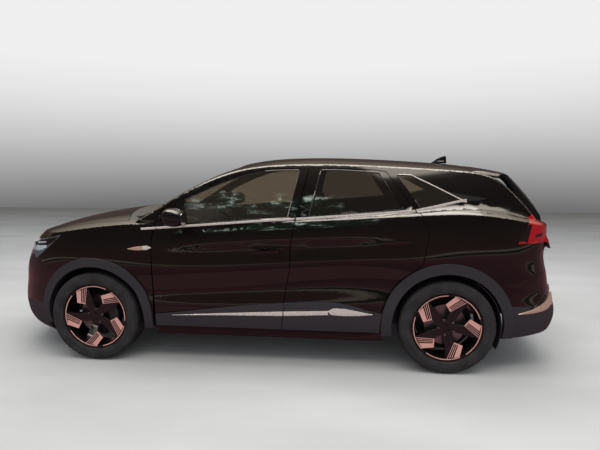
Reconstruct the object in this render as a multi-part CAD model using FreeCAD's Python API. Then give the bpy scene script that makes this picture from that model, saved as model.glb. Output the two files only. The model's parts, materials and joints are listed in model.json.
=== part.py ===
# A five-door crossover, modelled in millimetres as the pieces it is built from.
# X runs to the rear, Y to the car's right, Z up. The origin is on the ground at mid length.
import FreeCAD
import Part
import math
import os
from FreeCAD import Vector

# Driving dimensions
LENGTH = 4413.0
WIDTH = 1797.0
WHEELBASE = 2638.0
FRONT_OVERHANG = 875.0
TRACK = 1555.0
CLADDING_PROUD = 17.0
CLADDING_DEPTH = 30.0
PANEL_GAP = 5.5
GLASS_GAP = 0.3
SEAT_GAP = 0.3
DOOR_THICKNESS = 75.0
ROOF_THICKNESS = 46.0
HOOD_THICKNESS = 42.0
GLASS_THICKNESS = 5.0
GLASS_SUNK = 5.0
SHOULDER_RADIUS = 35.0
ROOF_RADIUS = 45.0
FLOOR_BOTTOM = 205.0
FLOOR_THICKNESS = 30.0
DOOR_BOTTOM = 285.0
HALF_CABIN = 655.0

# Wheels
TYRE_RADIUS = 342.5
TYRE_WIDTH = 225.0
RIM_RADIUS = 252.0
RIM_WALL = 15.0
DISC_RADIUS = 150.0
DISC_THICKNESS = 22.0
KINGPIN_INSET = 40.0
FRONT_ARCH_INNER = 392.0
FRONT_ARCH_OUTER = 457.0
REAR_ARCH_INNER = 396.0
REAR_ARCH_OUTER = 470.0
LINER_WALL = 7.0

# Places worked out from the driving dimensions
NOSE_X = -LENGTH / 2
TAIL_X = LENGTH / 2
FRONT_AXLE_X = NOSE_X + FRONT_OVERHANG
REAR_AXLE_X = FRONT_AXLE_X + WHEELBASE
HUB_Z = TYRE_RADIUS
BODY_HALF = WIDTH / 2 - CLADDING_PROUD
WHEEL_Y = TRACK / 2
KINGPIN_Y = WHEEL_Y - KINGPIN_INSET
WHEEL_INNER_Y = WHEEL_Y - TYRE_WIDTH / 2

os.makedirs("parts", exist_ok=True)


def save(name, shape):
    """Write one node, whatever number of solids it has."""
    solids = shape.Solids
    kept = solids[0] if len(solids) == 1 else Part.makeCompound(solids)
    kept.exportStep("parts/" + name + ".step")
    print(name, len(solids), "solids", round(shape.Volume / 1e6, 2), "litres", "valid", shape.isValid())


def box(x0, x1, y0, y1, z0, z1):
    return Part.makeBox(x1 - x0, y1 - y0, z1 - z0, Vector(x0, y0, z0))


def line(a, b):
    return Part.LineSegment(a, b).toShape()


def mirrored(shape):
    return shape.mirror(Vector(0, 0, 0), Vector(0, 1, 0))


def pair(shape):
    """The left piece and its mirror image, as one compound."""
    return Part.makeCompound(shape.Solids + mirrored(shape).Solids)


def largest(shape):
    return max(shape.Solids, key=lambda solid: solid.Volume)


def rounded(shape, radius, chosen):
    edges = [edge for edge in shape.Edges if chosen(edge)]
    return shape.makeFillet(radius, edges)


def outline(*runs):
    """A closed outline in the XZ plane, kept as runs. Three or more points make a smooth curve."""
    kept = []
    last = None
    for run in runs:
        points = [Vector(x, 0, z) for x, z in run]
        if last is not None and last.distanceToPoint(points[0]) < 0.001:
            points[0] = last
        elif last is not None:
            kept.append([last, points[0]])
        if len(points) > 1:
            kept.append(points)
        last = points[-1]
    if last.distanceToPoint(kept[0][0]) > 0.001:
        kept.append([last, kept[0][0]])
    return kept


def grown(runs, distance):
    """The outline moved out all round by a distance, or in when it is negative."""
    corners = [point for run in runs for point in run[:-1]]
    count = len(corners)
    turn = sum(
        corners[i - 1].x * corners[i].z - corners[i].x * corners[i - 1].z for i in range(count))
    side = distance if turn > 0 else -distance
    moved = []
    for i in range(count):
        back = (corners[i] - corners[i - 1]).normalize()
        ahead = (corners[(i + 1) % count] - corners[i]).normalize()
        back_out = Vector(back.z, 0, -back.x)
        ahead_out = Vector(ahead.z, 0, -ahead.x)
        both = back_out + ahead_out
        moved.append(corners[i] + both * (2 * side / both.dot(both)))
    result = []
    start = 0
    for run in runs:
        size = len(run)
        result.append([moved[(start + i) % count] for i in range(size)])
        start += size - 1
    return result


def face_of(runs):
    edges = []
    for run in runs:
        if len(run) == 2:
            edges.append(line(run[0], run[1]))
        else:
            curve = Part.BSplineCurve()
            curve.interpolate(run)
            edges.append(curve.toShape())
    return Part.Face(Part.Wire(edges))


def across(runs, y0, y1, slant=0.0):
    """Push a side outline across the car from y0 to y1, sliding by slant for each millimetre."""
    moved = face_of(runs)
    moved.translate(Vector(0, y0, 0))
    return moved.extrude(Vector(slant * (y1 - y0), y1 - y0, 0))


def plan(points, z0, z1):
    """An upright block with the given outline seen from above."""
    corners = [Vector(x, y, z0) for x, y in points]
    return Part.Face(Part.makePolygon(corners + corners[:1])).extrude(Vector(0, 0, z1 - z0))


def drum(radius, y0, y1, x, z):
    return Part.makeCylinder(radius, y1 - y0, Vector(x, y0, z), Vector(0, 1, 0))


def rod(radius, start, end):
    a = Vector(*start)
    b = Vector(*end)
    return Part.makeCylinder(radius, (b - a).Length, a, b - a)


# Smooth outer form
BIG = 3000.0
FAR = 1150.0


def clamped_knots(count):
    spans = count - 3
    return [4] + [1] * (spans - 1) + [4], [float(k) for k in range(spans + 1)]


def patch(net):
    """A smooth surface drawn by a net of control points."""
    u_mults, u_knots = clamped_knots(len(net))
    v_mults, v_knots = clamped_knots(len(net[0]))
    surface = Part.BSplineSurface()
    surface.buildFromPolesMultsKnots(net, u_mults, v_mults, u_knots, v_knots, False, False, 3, 3)
    return surface.toShape()


def spline(points):
    mults, knots = clamped_knots(len(points))
    curve = Part.BSplineCurve()
    curve.buildFromPolesMultsKnots(points, mults, knots, False, 3)
    return curve.toShape()


def flip(point):
    return Vector(point.x, -point.y, point.z)


def closed_solid(faces):
    shell = Part.makeShell(faces)
    shell.sewShape()
    solid = Part.makeSolid(Part.Shell(shell.Faces))
    if solid.Volume < 0:
        solid.reverse()
    return solid


def ease(t):
    t = max(0.0, min(1.0, t))
    return t * t * (3 - 2 * t)


# Half outline seen from above: distance behind the nose, or ahead of the tail, and distance out
FRONT_PLAN = [(0, 0), (0, 230), (42, 455), (150, 650), (330, 800), (600, 858), (900, 876)]
REAR_PLAN = [(900, 884), (483, 866), (163, 812), (35, 610), (0, 330), (0, 0)]
MIDDLE_PLAN = [(1320, 877), (1850, 876), (2400, 878), (2950, 882)]
PLAN_HALF = 881.5

# Upright section: height, share of the belt's slope, tuck at the sides, set-back at nose and tail
SECTION = [
    (150, 0.0, 110, 190, 330),
    (180, 0.0, 85, 60, 130),
    (250, 0.0, 48, 8, 45),
    (350, 0.0, 14, 0, 5),
    (460, 0.1, 6, 0, 0),
    (580, 0.2, 14, 22, 65),
    (680, 0.35, 3, 28, 75),
    (780, 0.5, 0, 55, 120),
    (880, 0.7, 2, 95, 100),
    (980, 0.9, 18, 150, 92),
    (1060, 1.0, 48, 230, 110),
    (1140, 1.0, 85, 330, 190),
    (1300, 0.0, 160, 480, 330)]
BELT_SLOPE = 0.07

# Doors: two long hollows below the belt. For a row of the section: how far it moves up over the
# doors, how much it climbs from the middle to DOOR_REACH behind it, and its tuck there
DOOR_ROWS = {
    460: (0, 0, 4), 580: (25, 85, 34), 680: (20, 65, 14), 780: (5, 40, 0), 880: (0, 0, 26), 980: (0, 0, 12)}
DOOR_REACH = 900.0
DOOR_FADE = 1300.0

# Top line of hood, belt and tail: X, height on the centre line, drop at the crown's reach
CROWN_REACH = 760.0
DECK = [
    (-2330, 560, 60), (-2240, 720, 60), (-2150, 850, 60), (-2050, 938, 60), (-1850, 1018, 55),
    (-1600, 1075, 45), (-1300, 1118, 45), (-950, 1150, 48), (-500, 1165, 60), (300, 1200, 55),
    (1000, 1250, 55), (1450, 1280, 60), (1750, 1232, 60), (2000, 1135, 50), (2120, 1070, 50),
    (2250, 960, 50), (2400, 800, 50)]
DECK_ROWS = [170, 500, 760, 900, 1100]

# Windscreen, roof and rear window seen along the centre line: X, height, drop
ROOF = [
    (-1500, 880, 60), (-1300, 985, 52), (-1080, 1110, 46), (-820, 1265, 45), (-540, 1420, 45),
    (-240, 1528, 46), (100, 1560, 48), (500, 1562, 50), (900, 1546, 50), (1300, 1520, 50),
    (1560, 1500, 50), (1700, 1450, 54), (1830, 1335, 62), (1960, 1195, 75), (2055, 1085, 100),
    (2095, 980, 150), (2120, 860, 200)]
ROOF_ROWS = [110, 330, 600, 820, 1000]
ROOF_REACH = 600.0

# Side glass: leans in with height, and pinches towards both ends
GLASS_LEAN = [(900, 862), (1000, 846), (1100, 818), (1220, 771), (1340, 717), (1450, 660), (1540, 606), (1620, 550)]
GLASS_PINCH = [
    (-1500, 60), (-1200, 42), (-850, 22), (-300, 4), (300, 0), (900, 8), (1300, 30), (1700, 80),
    (2000, 135), (2300, 200)]


def plan_points():
    widen = BODY_HALF - PLAN_HALF
    front = [(NOSE_X + d, y) for d, y in FRONT_PLAN]
    middle = [(NOSE_X + d, y) for d, y in MIDDLE_PLAN]
    rear = [(TAIL_X - d, y) for d, y in REAR_PLAN]
    return [(x, y + widen * ease(y / 700.0)) for x, y in front + middle + rear]


def wall(inset):
    """The closed lower body, as a tall block with the car's plan and side section."""
    outer = plan_points()
    net = []
    for i, (px, py) in enumerate(outer):
        ahead = outer[max(i - 1, 0)]
        behind = outer[min(i + 1, len(outer) - 1)]
        run = Vector(behind[0] - ahead[0], behind[1] - ahead[1], 0).normalize()
        normal = Vector(-run.y, run.x, 0)
        on_centre = i in (0, len(outer) - 1)
        if on_centre:
            normal = Vector(-1 if i == 0 else 1, 0, 0)
        front = ease((NOSE_X + 700 - px) / 600)
        rear = ease((px - TAIL_X + 800) / 700)
        column = []
        over_doors = ease((px + DOOR_FADE) / DOOR_REACH) * ease((DOOR_FADE - px) / 600)
        for height, follow, tuck, nose, tail in SECTION:
            rise = follow * BELT_SLOPE * max(-1000, min(1300, px))
            shift, climb, door_tuck = DOOR_ROWS.get(height, (0, 0, tuck))
            rise += over_doors * (shift + climb * px / DOOR_REACH)
            tuck += over_doors * (door_tuck - tuck)
            x = px + nose * front - tail * rear - normal.x * inset
            y = py - tuck * py / PLAN_HALF - normal.y * inset
            column.append(Vector(x, 0 if on_centre else max(y, 0), height + rise))
        net.append(column)
    other = [[flip(point) for point in column] for column in net]
    caps = []
    for end in (0, -1):
        rim = [column[end] for column in net]
        caps.append(Part.Face(Part.Wire([spline(rim), spline([flip(point) for point in rim])])))
    return closed_solid([patch(net), patch(other)] + caps)


def crowned(line_points, rows, reach, lower_by, extra):
    """Everything below a crowned surface that runs the length of the car."""
    net = []
    for x, height, drop in line_points:
        row = []
        for y in [-r for r in reversed(rows)] + rows:
            fall = drop * (abs(y) / reach) ** 2
            fall += max(0.0, abs(y) - CROWN_REACH) * extra
            row.append(Vector(x, y, height - fall - lower_by))
        net.append(row)
    return patch(net).extrude(Vector(0, 0, -2000))


def deck(lower_by):
    return crowned(DECK, DECK_ROWS, CROWN_REACH, lower_by, 0.5)


def roof_form(lower_by):
    return crowned(ROOF, ROOF_ROWS, ROOF_REACH, lower_by, 0.0)


def glass_block(inset):
    net = []
    for x, pinch in GLASS_PINCH:
        net.append([Vector(x, y - pinch - inset, z) for z, y in GLASS_LEAN])
    other = [[flip(point) for point in column] for column in net]
    faces = [patch(net), patch(other)]
    rims = [net[0], net[-1], [column[0] for column in net], [column[-1] for column in net]]
    for rim in rims:
        back = [flip(point) for point in rim]
        edges = [spline(rim), line(rim[-1], back[-1]), spline(back), line(back[0], rim[0])]
        faces.append(Part.Face(Part.Wire(edges)))
    return closed_solid(faces)


UNDERTAIL = outline([(1500, 0)], [(1500, 262)], [(1800, 262)], [(2300, 330)], [(2300, 0)])


def lower_form(inset):
    return wall(inset).common(deck(inset))


def upper_form(inset):
    return glass_block(inset).common(roof_form(inset))


def long_and_high(least, lowest):
    def chosen(edge):
        limits = edge.BoundBox
        return edge.Length > least and limits.ZMax > lowest and limits.ZMax - limits.ZMin > 100
    return chosen


lower_outer = rounded(lower_form(0), SHOULDER_RADIUS, long_and_high(1500, 1000))
upper_outer = rounded(upper_form(0), ROOF_RADIUS, long_and_high(1500, 1300))
lower_inner = lower_form(DOOR_THICKNESS)
upper_inner = upper_form(ROOF_THICKNESS)
lower_shell = lower_outer.cut(lower_inner).cut(across(UNDERTAIL, -FAR, FAR))


def shell_in(block):
    """The hollow body skin inside one block: both forms joined, less both inner forms."""
    joined = lower_outer.common(block).fuse(upper_outer.common(block))
    return joined.cut(lower_inner).cut(upper_inner)


# What lies inboard of a door's window frame
door_core = glass_block(ROOF_THICKNESS)
opening_core = glass_block(ROOF_THICKNESS + PANEL_GAP).common(box(-BIG, BIG, -BIG, BIG, 1130, 2000))


# Cut lines of the left side, seen from the side
DOOR_LEAN = 0.35


def skin_y(z):
    """How far out the skin is at a height, near the doors."""
    heights = [(0, BODY_HALF), (980, BODY_HALF - 18)] + GLASS_LEAN[1:]
    for (low, y_low), (high, y_high) in zip(heights, heights[1:]):
        if low <= z <= high:
            return y_low + (y_high - y_low) * (z - low) / (high - low)
    return heights[-1][1]


def leaned(points):
    """Points of a door's cut line as they lie on the skin, moved to where its slanted face starts."""
    return [(x + DOOR_LEAN * (BODY_HALF - skin_y(z)), z) for x, z in points]

FRONT_CUT = [(-848, DOOR_BOTTOM), (-852, 420), (-860, 620), (-866, 800), (-862, 930), (-838, 1030)]
PILLAR_FOOT = (-800, 1166)
SWEEP_TOP = [
    PILLAR_FOOT, (-579, 1283), (-389, 1371), (-210, 1432), (-34, 1464), (120, 1472), (299, 1475)]
MIDDLE_CUT = [(299, 1475), (250, 1270), (212, 1110), (185, 969), (169, 716), (145, 570), (116, DOOR_BOTTOM)]
LEVEL_TOP = [(299, 1475), (454, 1475), (667, 1468), (800, 1460), (872, 1450)]
REAR_CUT_TOP = [(872, 1450), (1076, 1172)]
REAR_CUT = [(1076, 1172), (1130, 1100), (1141, 931), (1118, 812)]


def arc_run(x, z, radius, start, stop, steps):
    angles = [math.radians(start + (stop - start) * i / steps) for i in range(steps + 1)]
    return [(x + radius * math.cos(a), z + radius * math.sin(a)) for a in angles]


DOOR_ARCH = arc_run(REAR_AXLE_X, HUB_Z, REAR_ARCH_OUTER + PANEL_GAP, 120, 187, 5)
front_door_line = outline(leaned(FRONT_CUT), leaned(SWEEP_TOP), leaned(MIDDLE_CUT))
rear_door_line = outline(
    leaned(MIDDLE_CUT[::-1]), leaned(LEVEL_TOP), leaned(REAR_CUT_TOP), leaned(REAR_CUT), DOOR_ARCH)
doorway_line = outline(
    leaned(FRONT_CUT), leaned(SWEEP_TOP), leaned(LEVEL_TOP), leaned(REAR_CUT_TOP), leaned(REAR_CUT), DOOR_ARCH)
front_door_face = grown(front_door_line, -PANEL_GAP / 2)
rear_door_face = grown(rear_door_line, -PANEL_GAP / 2)

FRONT_WINDOW = outline(
    [(-640, 1232), (-579, 1264), (-389, 1351), (-210, 1414), (-34, 1447), (80, 1454), (226, 1457)],
    [(226, 1457), (188, 1290), (150, 1119)],
    [(150, 1119), (-10, 1108), (-351, 1083), (-640, 1062)])
REAR_WINDOW = outline(
    [(388, 1458), (500, 1458), (667, 1450), (815, 1440)],
    [(815, 1440), (985, 1186)],
    [(985, 1186), (827, 1168), (585, 1146), (305, 1128)],
    [(305, 1128), (345, 1290), (388, 1458)])
QUARTER_WINDOW = outline(
    [(948, 1424), (1045, 1424)],
    [(1045, 1424), (1240, 1330), (1420, 1236)],
    [(1420, 1236), (1270, 1214), (1105, 1197)])


def side_block(face):
    """A door's block, whose edges slant forward through its thickness so that it swings clear."""
    inner_y = -450.0
    block = across(face, inner_y, -FAR, -DOOR_LEAN)
    block.translate(Vector(-DOOR_LEAN * (BODY_HALF + inner_y), 0, 0))
    return block


# Arch cladding, sill cladding and skirts stand proud of the painted skin
proud_wall = wall(-CLADDING_PROUD)
skin_wall = wall(-SEAT_GAP)
trim_back = wall(CLADDING_DEPTH)
house_wall = wall(CLADDING_DEPTH + SEAT_GAP)


def arch_cut(x, radius):
    """The round space of one wheel arch on the left side."""
    return drum(radius, -FAR, -HALF_CABIN + 55, x, HUB_Z)


def arch_ring(x, inner, outer):
    ring = drum(outer, -FAR, -640, x, HUB_Z).cut(drum(inner, -FAR, -600, x, HUB_Z))
    ring = ring.common(box(x - outer, x + outer, -FAR, -600, 262, HUB_Z + outer))
    return largest(ring.common(proud_wall).cut(trim_back))


# Panels
HOOD_EDGE = [(-2400, 560), (-1950, 668), (-1600, 716), (-1250, 738), (-1085, 742)]
HOOD_REAR = [(-1085, 742), (-1170, 500), (-1235, 250), (-1262, 0)]


def hood_outline(extra):
    """The hood seen from above, grown by the panel gap for what surrounds it."""
    right = [(x, y + extra) for x, y in HOOD_EDGE]
    back = [(x + extra, y) for x, y in HOOD_REAR[1:]]
    corner = [(HOOD_EDGE[-1][0] + extra, HOOD_EDGE[-1][1] + extra)]
    half = right[:-1] + corner + back
    return half + [(x, -y) for x, y in reversed(half[:-1])]


HOOD_FRONT_X = -2090.0
HOOD_LOW = 860.0


def hood_block(extra):
    block = plan(hood_outline(extra), HOOD_LOW - extra, 1500)
    nose_limit = box(HOOD_FRONT_X - extra, 0, -BIG, BIG, 0, BIG)
    return block.common(nose_limit)


HEADLAMP = outline(
    [(-2400, 905), (-1926, 905), (-1600, 962)], [(-1600, 962), (-1690, 884), (-1770, 822), (-2400, 806)])
HEADLAMP_INNER_Y = 470.0
headlamp_block = across(HEADLAMP, -HEADLAMP_INNER_Y, -FAR)
headlamp_hole = across(grown(HEADLAMP, SEAT_GAP), -HEADLAMP_INNER_Y + SEAT_GAP, -FAR)
lamp_inner = lower_form(68)

TAIL_LAMP = outline([(1772, 955), (1846, 1092), (2400, 1092)], [(2400, 955)])
TAIL_LAMP_INNER_Y = 560.0
tail_lamp_block = across(TAIL_LAMP, -TAIL_LAMP_INNER_Y, -FAR)
tail_lamp_hole = across(grown(TAIL_LAMP, SEAT_GAP), -TAIL_LAMP_INNER_Y + SEAT_GAP, -FAR)

BUMPER_CUT_FRONT = outline(
    [(-2500, 812)], [(-1775, 812)], [(-1700, 700)], [(-1600, 400)], [(-1600, 0)], [(-2500, 0)])
BUMPER_CUT_REAR = outline([(2500, 735)], [(1960, 735)], [(1690, 560)], [(1690, 0)], [(2500, 0)])
SKIRT_TOP_FRONT = 425.0
SKIRT_TOP_REAR = 505.0

GATE_TOP_X = 1500.0
GATE_HINGE_Z = 1512.0
GATE_HALF_TOP = 548.0
GATE_HALF_BOTTOM = 665.0
GATE_BOTTOM = 741.0
GATE_REACH = 1150.0
GATE_WAY = Vector(0.64, 0, 0.768)
GATE_DOWN = Vector(0.768, 0, -0.64)


def gate_block(extra):
    """The tailgate's opening. Its sides run along the way that the gate lifts."""
    top = Vector(GATE_TOP_X, 0, GATE_HINGE_Z)
    widths = [
        (-60, GATE_HALF_TOP), (220, GATE_HALF_TOP), (640, GATE_HALF_BOTTOM), (GATE_REACH, GATE_HALF_BOTTOM)]
    ring = [top + GATE_DOWN * down + Vector(0, half + extra, 0) for down, half in widths]
    ring += [flip(point) for point in reversed(ring)]
    block = Part.Face(Part.makePolygon(ring + ring[:1]))
    block.translate(GATE_WAY * -400)
    block = block.extrude(GATE_WAY * 1000)
    return block.common(box(GATE_TOP_X - extra, BIG, -BIG, BIG, GATE_BOTTOM - extra, BIG))


SCREEN_EDGE = [(-1400, 740), (-1150, 728), (-800, 668), (-330, 575)]
SCREEN_TOP_X = -270.0


def screen_block(extra):
    half = [(x, y + extra) for x, y in SCREEN_EDGE]
    half += [(SCREEN_TOP_X + extra, 566 + extra), (SCREEN_TOP_X - 30 + extra, 0)]
    return plan(half + [(x, -y) for x, y in reversed(half[:-1])], 900, 1700)


ROOF_HALF = 560.0
roof_block = box(SCREEN_TOP_X + 2, GATE_TOP_X - PANEL_GAP, -ROOF_HALF, ROOF_HALF, 1300, 1700)
roof_hole = box(SCREEN_TOP_X - 30, GATE_TOP_X, -ROOF_HALF - 0.3, ROOF_HALF + 0.3, 1300, 1700)

# Hood, roof, tailgate
hood = largest(lower_outer.common(hood_block(0)).cut(deck(HOOD_THICKNESS)).cut(upper_outer))
save("hood", hood)

roof = largest(upper_outer.common(roof_block).cut(upper_inner).cut(screen_block(1)))
save("roof", roof)

gate = shell_in(gate_block(0))


def rear_glass_block(extra):
    half_top = 480 + extra
    half_bottom = 590 + extra
    corners = [(half_top, 1408 + extra), (half_bottom, 1150 - extra)]
    ring = [Vector(1640, y, z) for y, z in corners]
    ring += [flip(point) for point in reversed(ring)]
    return Part.Face(Part.makePolygon(ring + ring[:1])).extrude(Vector(900, 0, 0))


gate = gate.cut(rear_glass_block(0))
SPOILER_LINE = [
    (1300, 1522, 50), (1450, 1508, 50), (1560, 1497, 50), (1700, 1478, 50), (1830, 1452, 50), (1950, 1420, 50)]
SPOILER_START = GATE_TOP_X + 9.0
SPOILER_END = 1818.0


def spoiler_form(lower_by):
    return crowned(SPOILER_LINE, ROOF_ROWS, ROOF_REACH, lower_by, 0.0)


spoiler = spoiler_form(1).cut(spoiler_form(30)).common(
    plan([(SPOILER_START, -545), (SPOILER_END - 60, -545), (SPOILER_END - 22, -500), (SPOILER_END, -300),
          (SPOILER_END, 300), (SPOILER_END - 22, 500), (SPOILER_END - 60, 545), (SPOILER_START, 545)], 1300, 1600))
gate = largest(gate.fuse(spoiler))
save("tailgate", gate)

glass_outer = upper_form(GLASS_SUNK)
glass_inner = upper_form(GLASS_SUNK + GLASS_THICKNESS)
glass_skin = glass_outer.cut(glass_inner)
rear_window = largest(glass_skin.common(rear_glass_block(-GLASS_GAP)).cut(lower_outer).cut(spoiler))
save("rear_window", rear_window)

# Fixed glass
windscreen = largest(glass_skin.common(screen_block(-GLASS_GAP)).cut(lower_outer))
quarter = largest(glass_skin.common(across(grown(QUARTER_WINDOW, -GLASS_GAP), -450, -FAR)))
save("fixed_windows", Part.makeCompound([windscreen] + pair(quarter).Solids))

# Doors
SILL_TRIM_TOP = [
    (-900, 375), (-700, 397), (-350, 443), (-137, 467), (136, 493), (421, 508), (520, 505), (640, 482),
    (760, 450), (860, 430)]
sill_face = outline(SILL_TRIM_TOP, [(860, 200)], [(-900, 200)])


def handle(x, z, rise):
    """A pull handle on two feet."""
    bar = box(x - 105, x + 105, -BODY_HALF - 10, -BODY_HALF + 4, z - 11, z + 11)
    feet = [box(x + s - 12, x + s + 12, -BODY_HALF + 4, -BODY_HALF + 40, z - 9, z + 9) for s in (-88, 88)]
    grip = bar.fuse(feet)
    grip.rotate(Vector(x, 0, z), Vector(0, 1, 0), -math.degrees(math.atan(rise)))
    return grip


def door(face, window, grip):
    panel = largest(shell_in(side_block(face)).cut(door_core))
    panel = panel.cut(across(window, -450, -FAR))
    return largest(panel.fuse(grip))


def door_glass(window):
    return largest(glass_skin.common(across(grown(window, -GLASS_GAP), -450, -FAR)))


def sill_trim(face):
    block = side_block(face).common(across(sill_face, -600, -FAR))
    return largest(proud_wall.cut(skin_wall).common(block))


front_grip = handle(-5, 872, 0.06)
rear_grip = handle(918, 958, 0.06)
left = {
    "front_left_door": door(front_door_face, FRONT_WINDOW, front_grip),
    "rear_left_door": door(rear_door_face, REAR_WINDOW, rear_grip),
    "front_left_window": door_glass(FRONT_WINDOW),
    "rear_left_window": door_glass(REAR_WINDOW),
    "front_left_sill_trim": sill_trim(front_door_face),
    "rear_left_sill_trim": sill_trim(rear_door_face)}
for name, shape in left.items():
    save(name, shape)
    save(name.replace("left", "right"), mirrored(shape))

# Body sides: pillars, roof rail, quarter panel and sill in one
COWL_HALF = 735.0
COWL_REAR = -1010.0
side_region = outline(
    [(-1150, 1082)], [(-862, 1082)], [(-862, FLOOR_BOTTOM)], [(2500, FLOOR_BOTTOM)], [(2500, 1700)],
    [(-1150, 1700)])
side = shell_in(across(side_region, -420, -FAR))
side = side.cut(side_block(grown(doorway_line, PANEL_GAP / 2)).cut(opening_core))
side = side.cut(box(-BIG, REAR_AXLE_X, -FAR, -BODY_HALF + 70, 0, DOOR_BOTTOM - PANEL_GAP))
side = side.cut(arch_cut(REAR_AXLE_X, REAR_ARCH_OUTER + 0.3))
side = side.cut(across(grown(BUMPER_CUT_REAR, 2), 0, -FAR))
side = side.cut(tail_lamp_hole)
side = side.cut(gate_block(PANEL_GAP))
side = side.cut(roof_hole)
side = side.cut(screen_block(0))
side = side.cut(across(QUARTER_WINDOW, -450, -FAR))
side = side.cut(hood_block(PANEL_GAP))
side = side.cut(box(-1300, COWL_REAR + SEAT_GAP, -COWL_HALF - SEAT_GAP, 0, 800, 1400))
rear_pad = side_block(grown(rear_door_line, PANEL_GAP / 2 + 1))
rear_pad = rear_pad.cut(side_block(grown(rear_door_line, SEAT_GAP - PANEL_GAP / 2)))
rear_pad = rear_pad.common(box(1080, 1200, -BODY_HALF + 25, -BODY_HALF + 60, 930, 965))
gate_pad = gate_block(PANEL_GAP + 1).cut(gate_block(SEAT_GAP)).common(box(1980, 2040, -700, -600, 820, 850))
side = largest(side.fuse([rear_pad, gate_pad]))
save("body_sides", pair(side))

# Inner frame: sill, hinge post, middle post and roof rail behind the doors
POST_INSET = DOOR_THICKNESS + 12
POST_DEPTH = 60.0
SILL_TOP = 385.0
seat_form = lower_form(DOOR_THICKNESS + SEAT_GAP)
SILL_FRONT = -855.0
SILL_REAR = REAR_AXLE_X - REAR_ARCH_OUTER - 8
sill_box = box(SILL_FRONT, SILL_REAR, -BODY_HALF, -HALF_CABIN, FLOOR_BOTTOM, SILL_TOP)
sill_box = sill_box.common(lower_form(POST_INSET + 2))
sill_foot = box(SILL_FRONT, SILL_REAR, -BODY_HALF, -HALF_CABIN - 60, FLOOR_BOTTOM, DOOR_BOTTOM - 3 * PANEL_GAP)
sill_foot = sill_foot.common(seat_form)
post_outer = lower_form(POST_INSET)
post_skin = post_outer.cut(lower_form(POST_INSET + POST_DEPTH))
hinge_side = outline([(-925, 210)], [(-925, 1120)], [(-800, 1130)], [(-800, 210)])
POST_INNER_Y = 715.0
hinge_post = post_skin.common(across(hinge_side, -POST_INNER_Y, -FAR))
middle_left = [(x - 55, z) for x, z in MIDDLE_CUT]
middle_right = [(x + 75, z) for x, z in MIDDLE_CUT[::-1]]
middle_strip = across(outline(middle_left, middle_right), -450, -FAR)
low_strip = across(outline(middle_left, middle_right), -POST_INNER_Y, -FAR)
high_skin = upper_form(ROOF_THICKNESS + 12).cut(upper_form(ROOF_THICKNESS + 60))
middle_post = post_skin.common(low_strip).fuse(high_skin.common(middle_strip))
rail_line = [(x, z + 12) for x, z in SWEEP_TOP[2:] + LEVEL_TOP[1:]]
rail_strip = across(outline(rail_line, [(950, 1600)], [(-389, 1600)]), -480, -FAR)
cant_rail = upper_form(ROOF_THICKNESS + SEAT_GAP).cut(upper_form(ROOF_THICKNESS + 55)).common(rail_strip)
latch_pad = seat_form.cut(lower_form(POST_INSET + 5)).common(box(126, 150, -FAR, -600, 850, 890))
frame_parts = sill_box.fuse([sill_foot, hinge_post, middle_post, cant_rail, latch_pad])
save("body_frame", pair(largest(frame_parts)))

# Front fenders
fender_region = outline(
    [(-2500, 1300)], [(-1000, 1300)], [(-1000, 1079)], [(-868, 1079)], [(-868, 262)], [(-2500, 262)])
fender = lower_shell.common(across(fender_region, -450, -FAR))
fender = fender.cut(side_block(grown(front_door_face, PANEL_GAP)))
fender = fender.cut(arch_cut(FRONT_AXLE_X, FRONT_ARCH_OUTER + 0.3))
fender = fender.cut(across(grown(BUMPER_CUT_FRONT, 2), 0, -FAR))
fender = fender.cut(headlamp_hole).cut(hood_block(PANEL_GAP)).cut(upper_outer)
fender = fender.cut(box(-1300, -800, -COWL_HALF - SEAT_GAP, 0, 800, 1400))
fender = largest(fender)
save("front_fenders", pair(fender))

# Bumpers
front_end = lower_shell.common(across(BUMPER_CUT_FRONT, -BIG, BIG))
front_end = front_end.cut(arch_cut(FRONT_AXLE_X, FRONT_ARCH_OUTER + 0.3))
front_end = front_end.cut(mirrored(arch_cut(FRONT_AXLE_X, FRONT_ARCH_OUTER + 0.3)))
front_end = front_end.cut(headlamp_hole).cut(mirrored(headlamp_hole)).cut(hood_block(PANEL_GAP))
GRILLE_HALF = 430.0
GRILLE_TOP = 760.0
INTAKE_HALF = 520.0
grille_hole = box(-BIG, -1800, -GRILLE_HALF, GRILLE_HALF, 560, GRILLE_TOP)
intake_hole = box(-BIG, -1800, -INTAKE_HALF, INTAKE_HALF, 250, 400)
front_bumper = largest(front_end.common(box(-BIG, 0, -BIG, BIG, SKIRT_TOP_FRONT, 2000)).cut(grille_hole))
front_skirt = largest(front_end.common(box(-BIG, 0, -BIG, BIG, 0, SKIRT_TOP_FRONT - 0.3)).cut(intake_hole))
save("front_bumper", front_bumper)

rear_end = lower_shell.common(across(BUMPER_CUT_REAR, -BIG, BIG))
rear_end = rear_end.cut(arch_cut(REAR_AXLE_X, REAR_ARCH_OUTER + 0.3))
rear_end = rear_end.cut(mirrored(arch_cut(REAR_AXLE_X, REAR_ARCH_OUTER + 0.3)))
rear_bumper = largest(rear_end.common(box(0, BIG, -BIG, BIG, SKIRT_TOP_REAR, 2000)))
rear_skirt = largest(rear_end.common(box(0, BIG, -BIG, BIG, 0, SKIRT_TOP_REAR - 0.3)))
save("rear_bumper", rear_bumper)

front_ring = arch_ring(FRONT_AXLE_X, FRONT_ARCH_INNER, FRONT_ARCH_OUTER)
rear_ring = arch_ring(REAR_AXLE_X, REAR_ARCH_INNER, REAR_ARCH_OUTER)
cladding = [front_skirt, rear_skirt] + pair(front_ring).Solids + pair(rear_ring).Solids
save("lower_cladding", Part.makeCompound(cladding))

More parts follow.
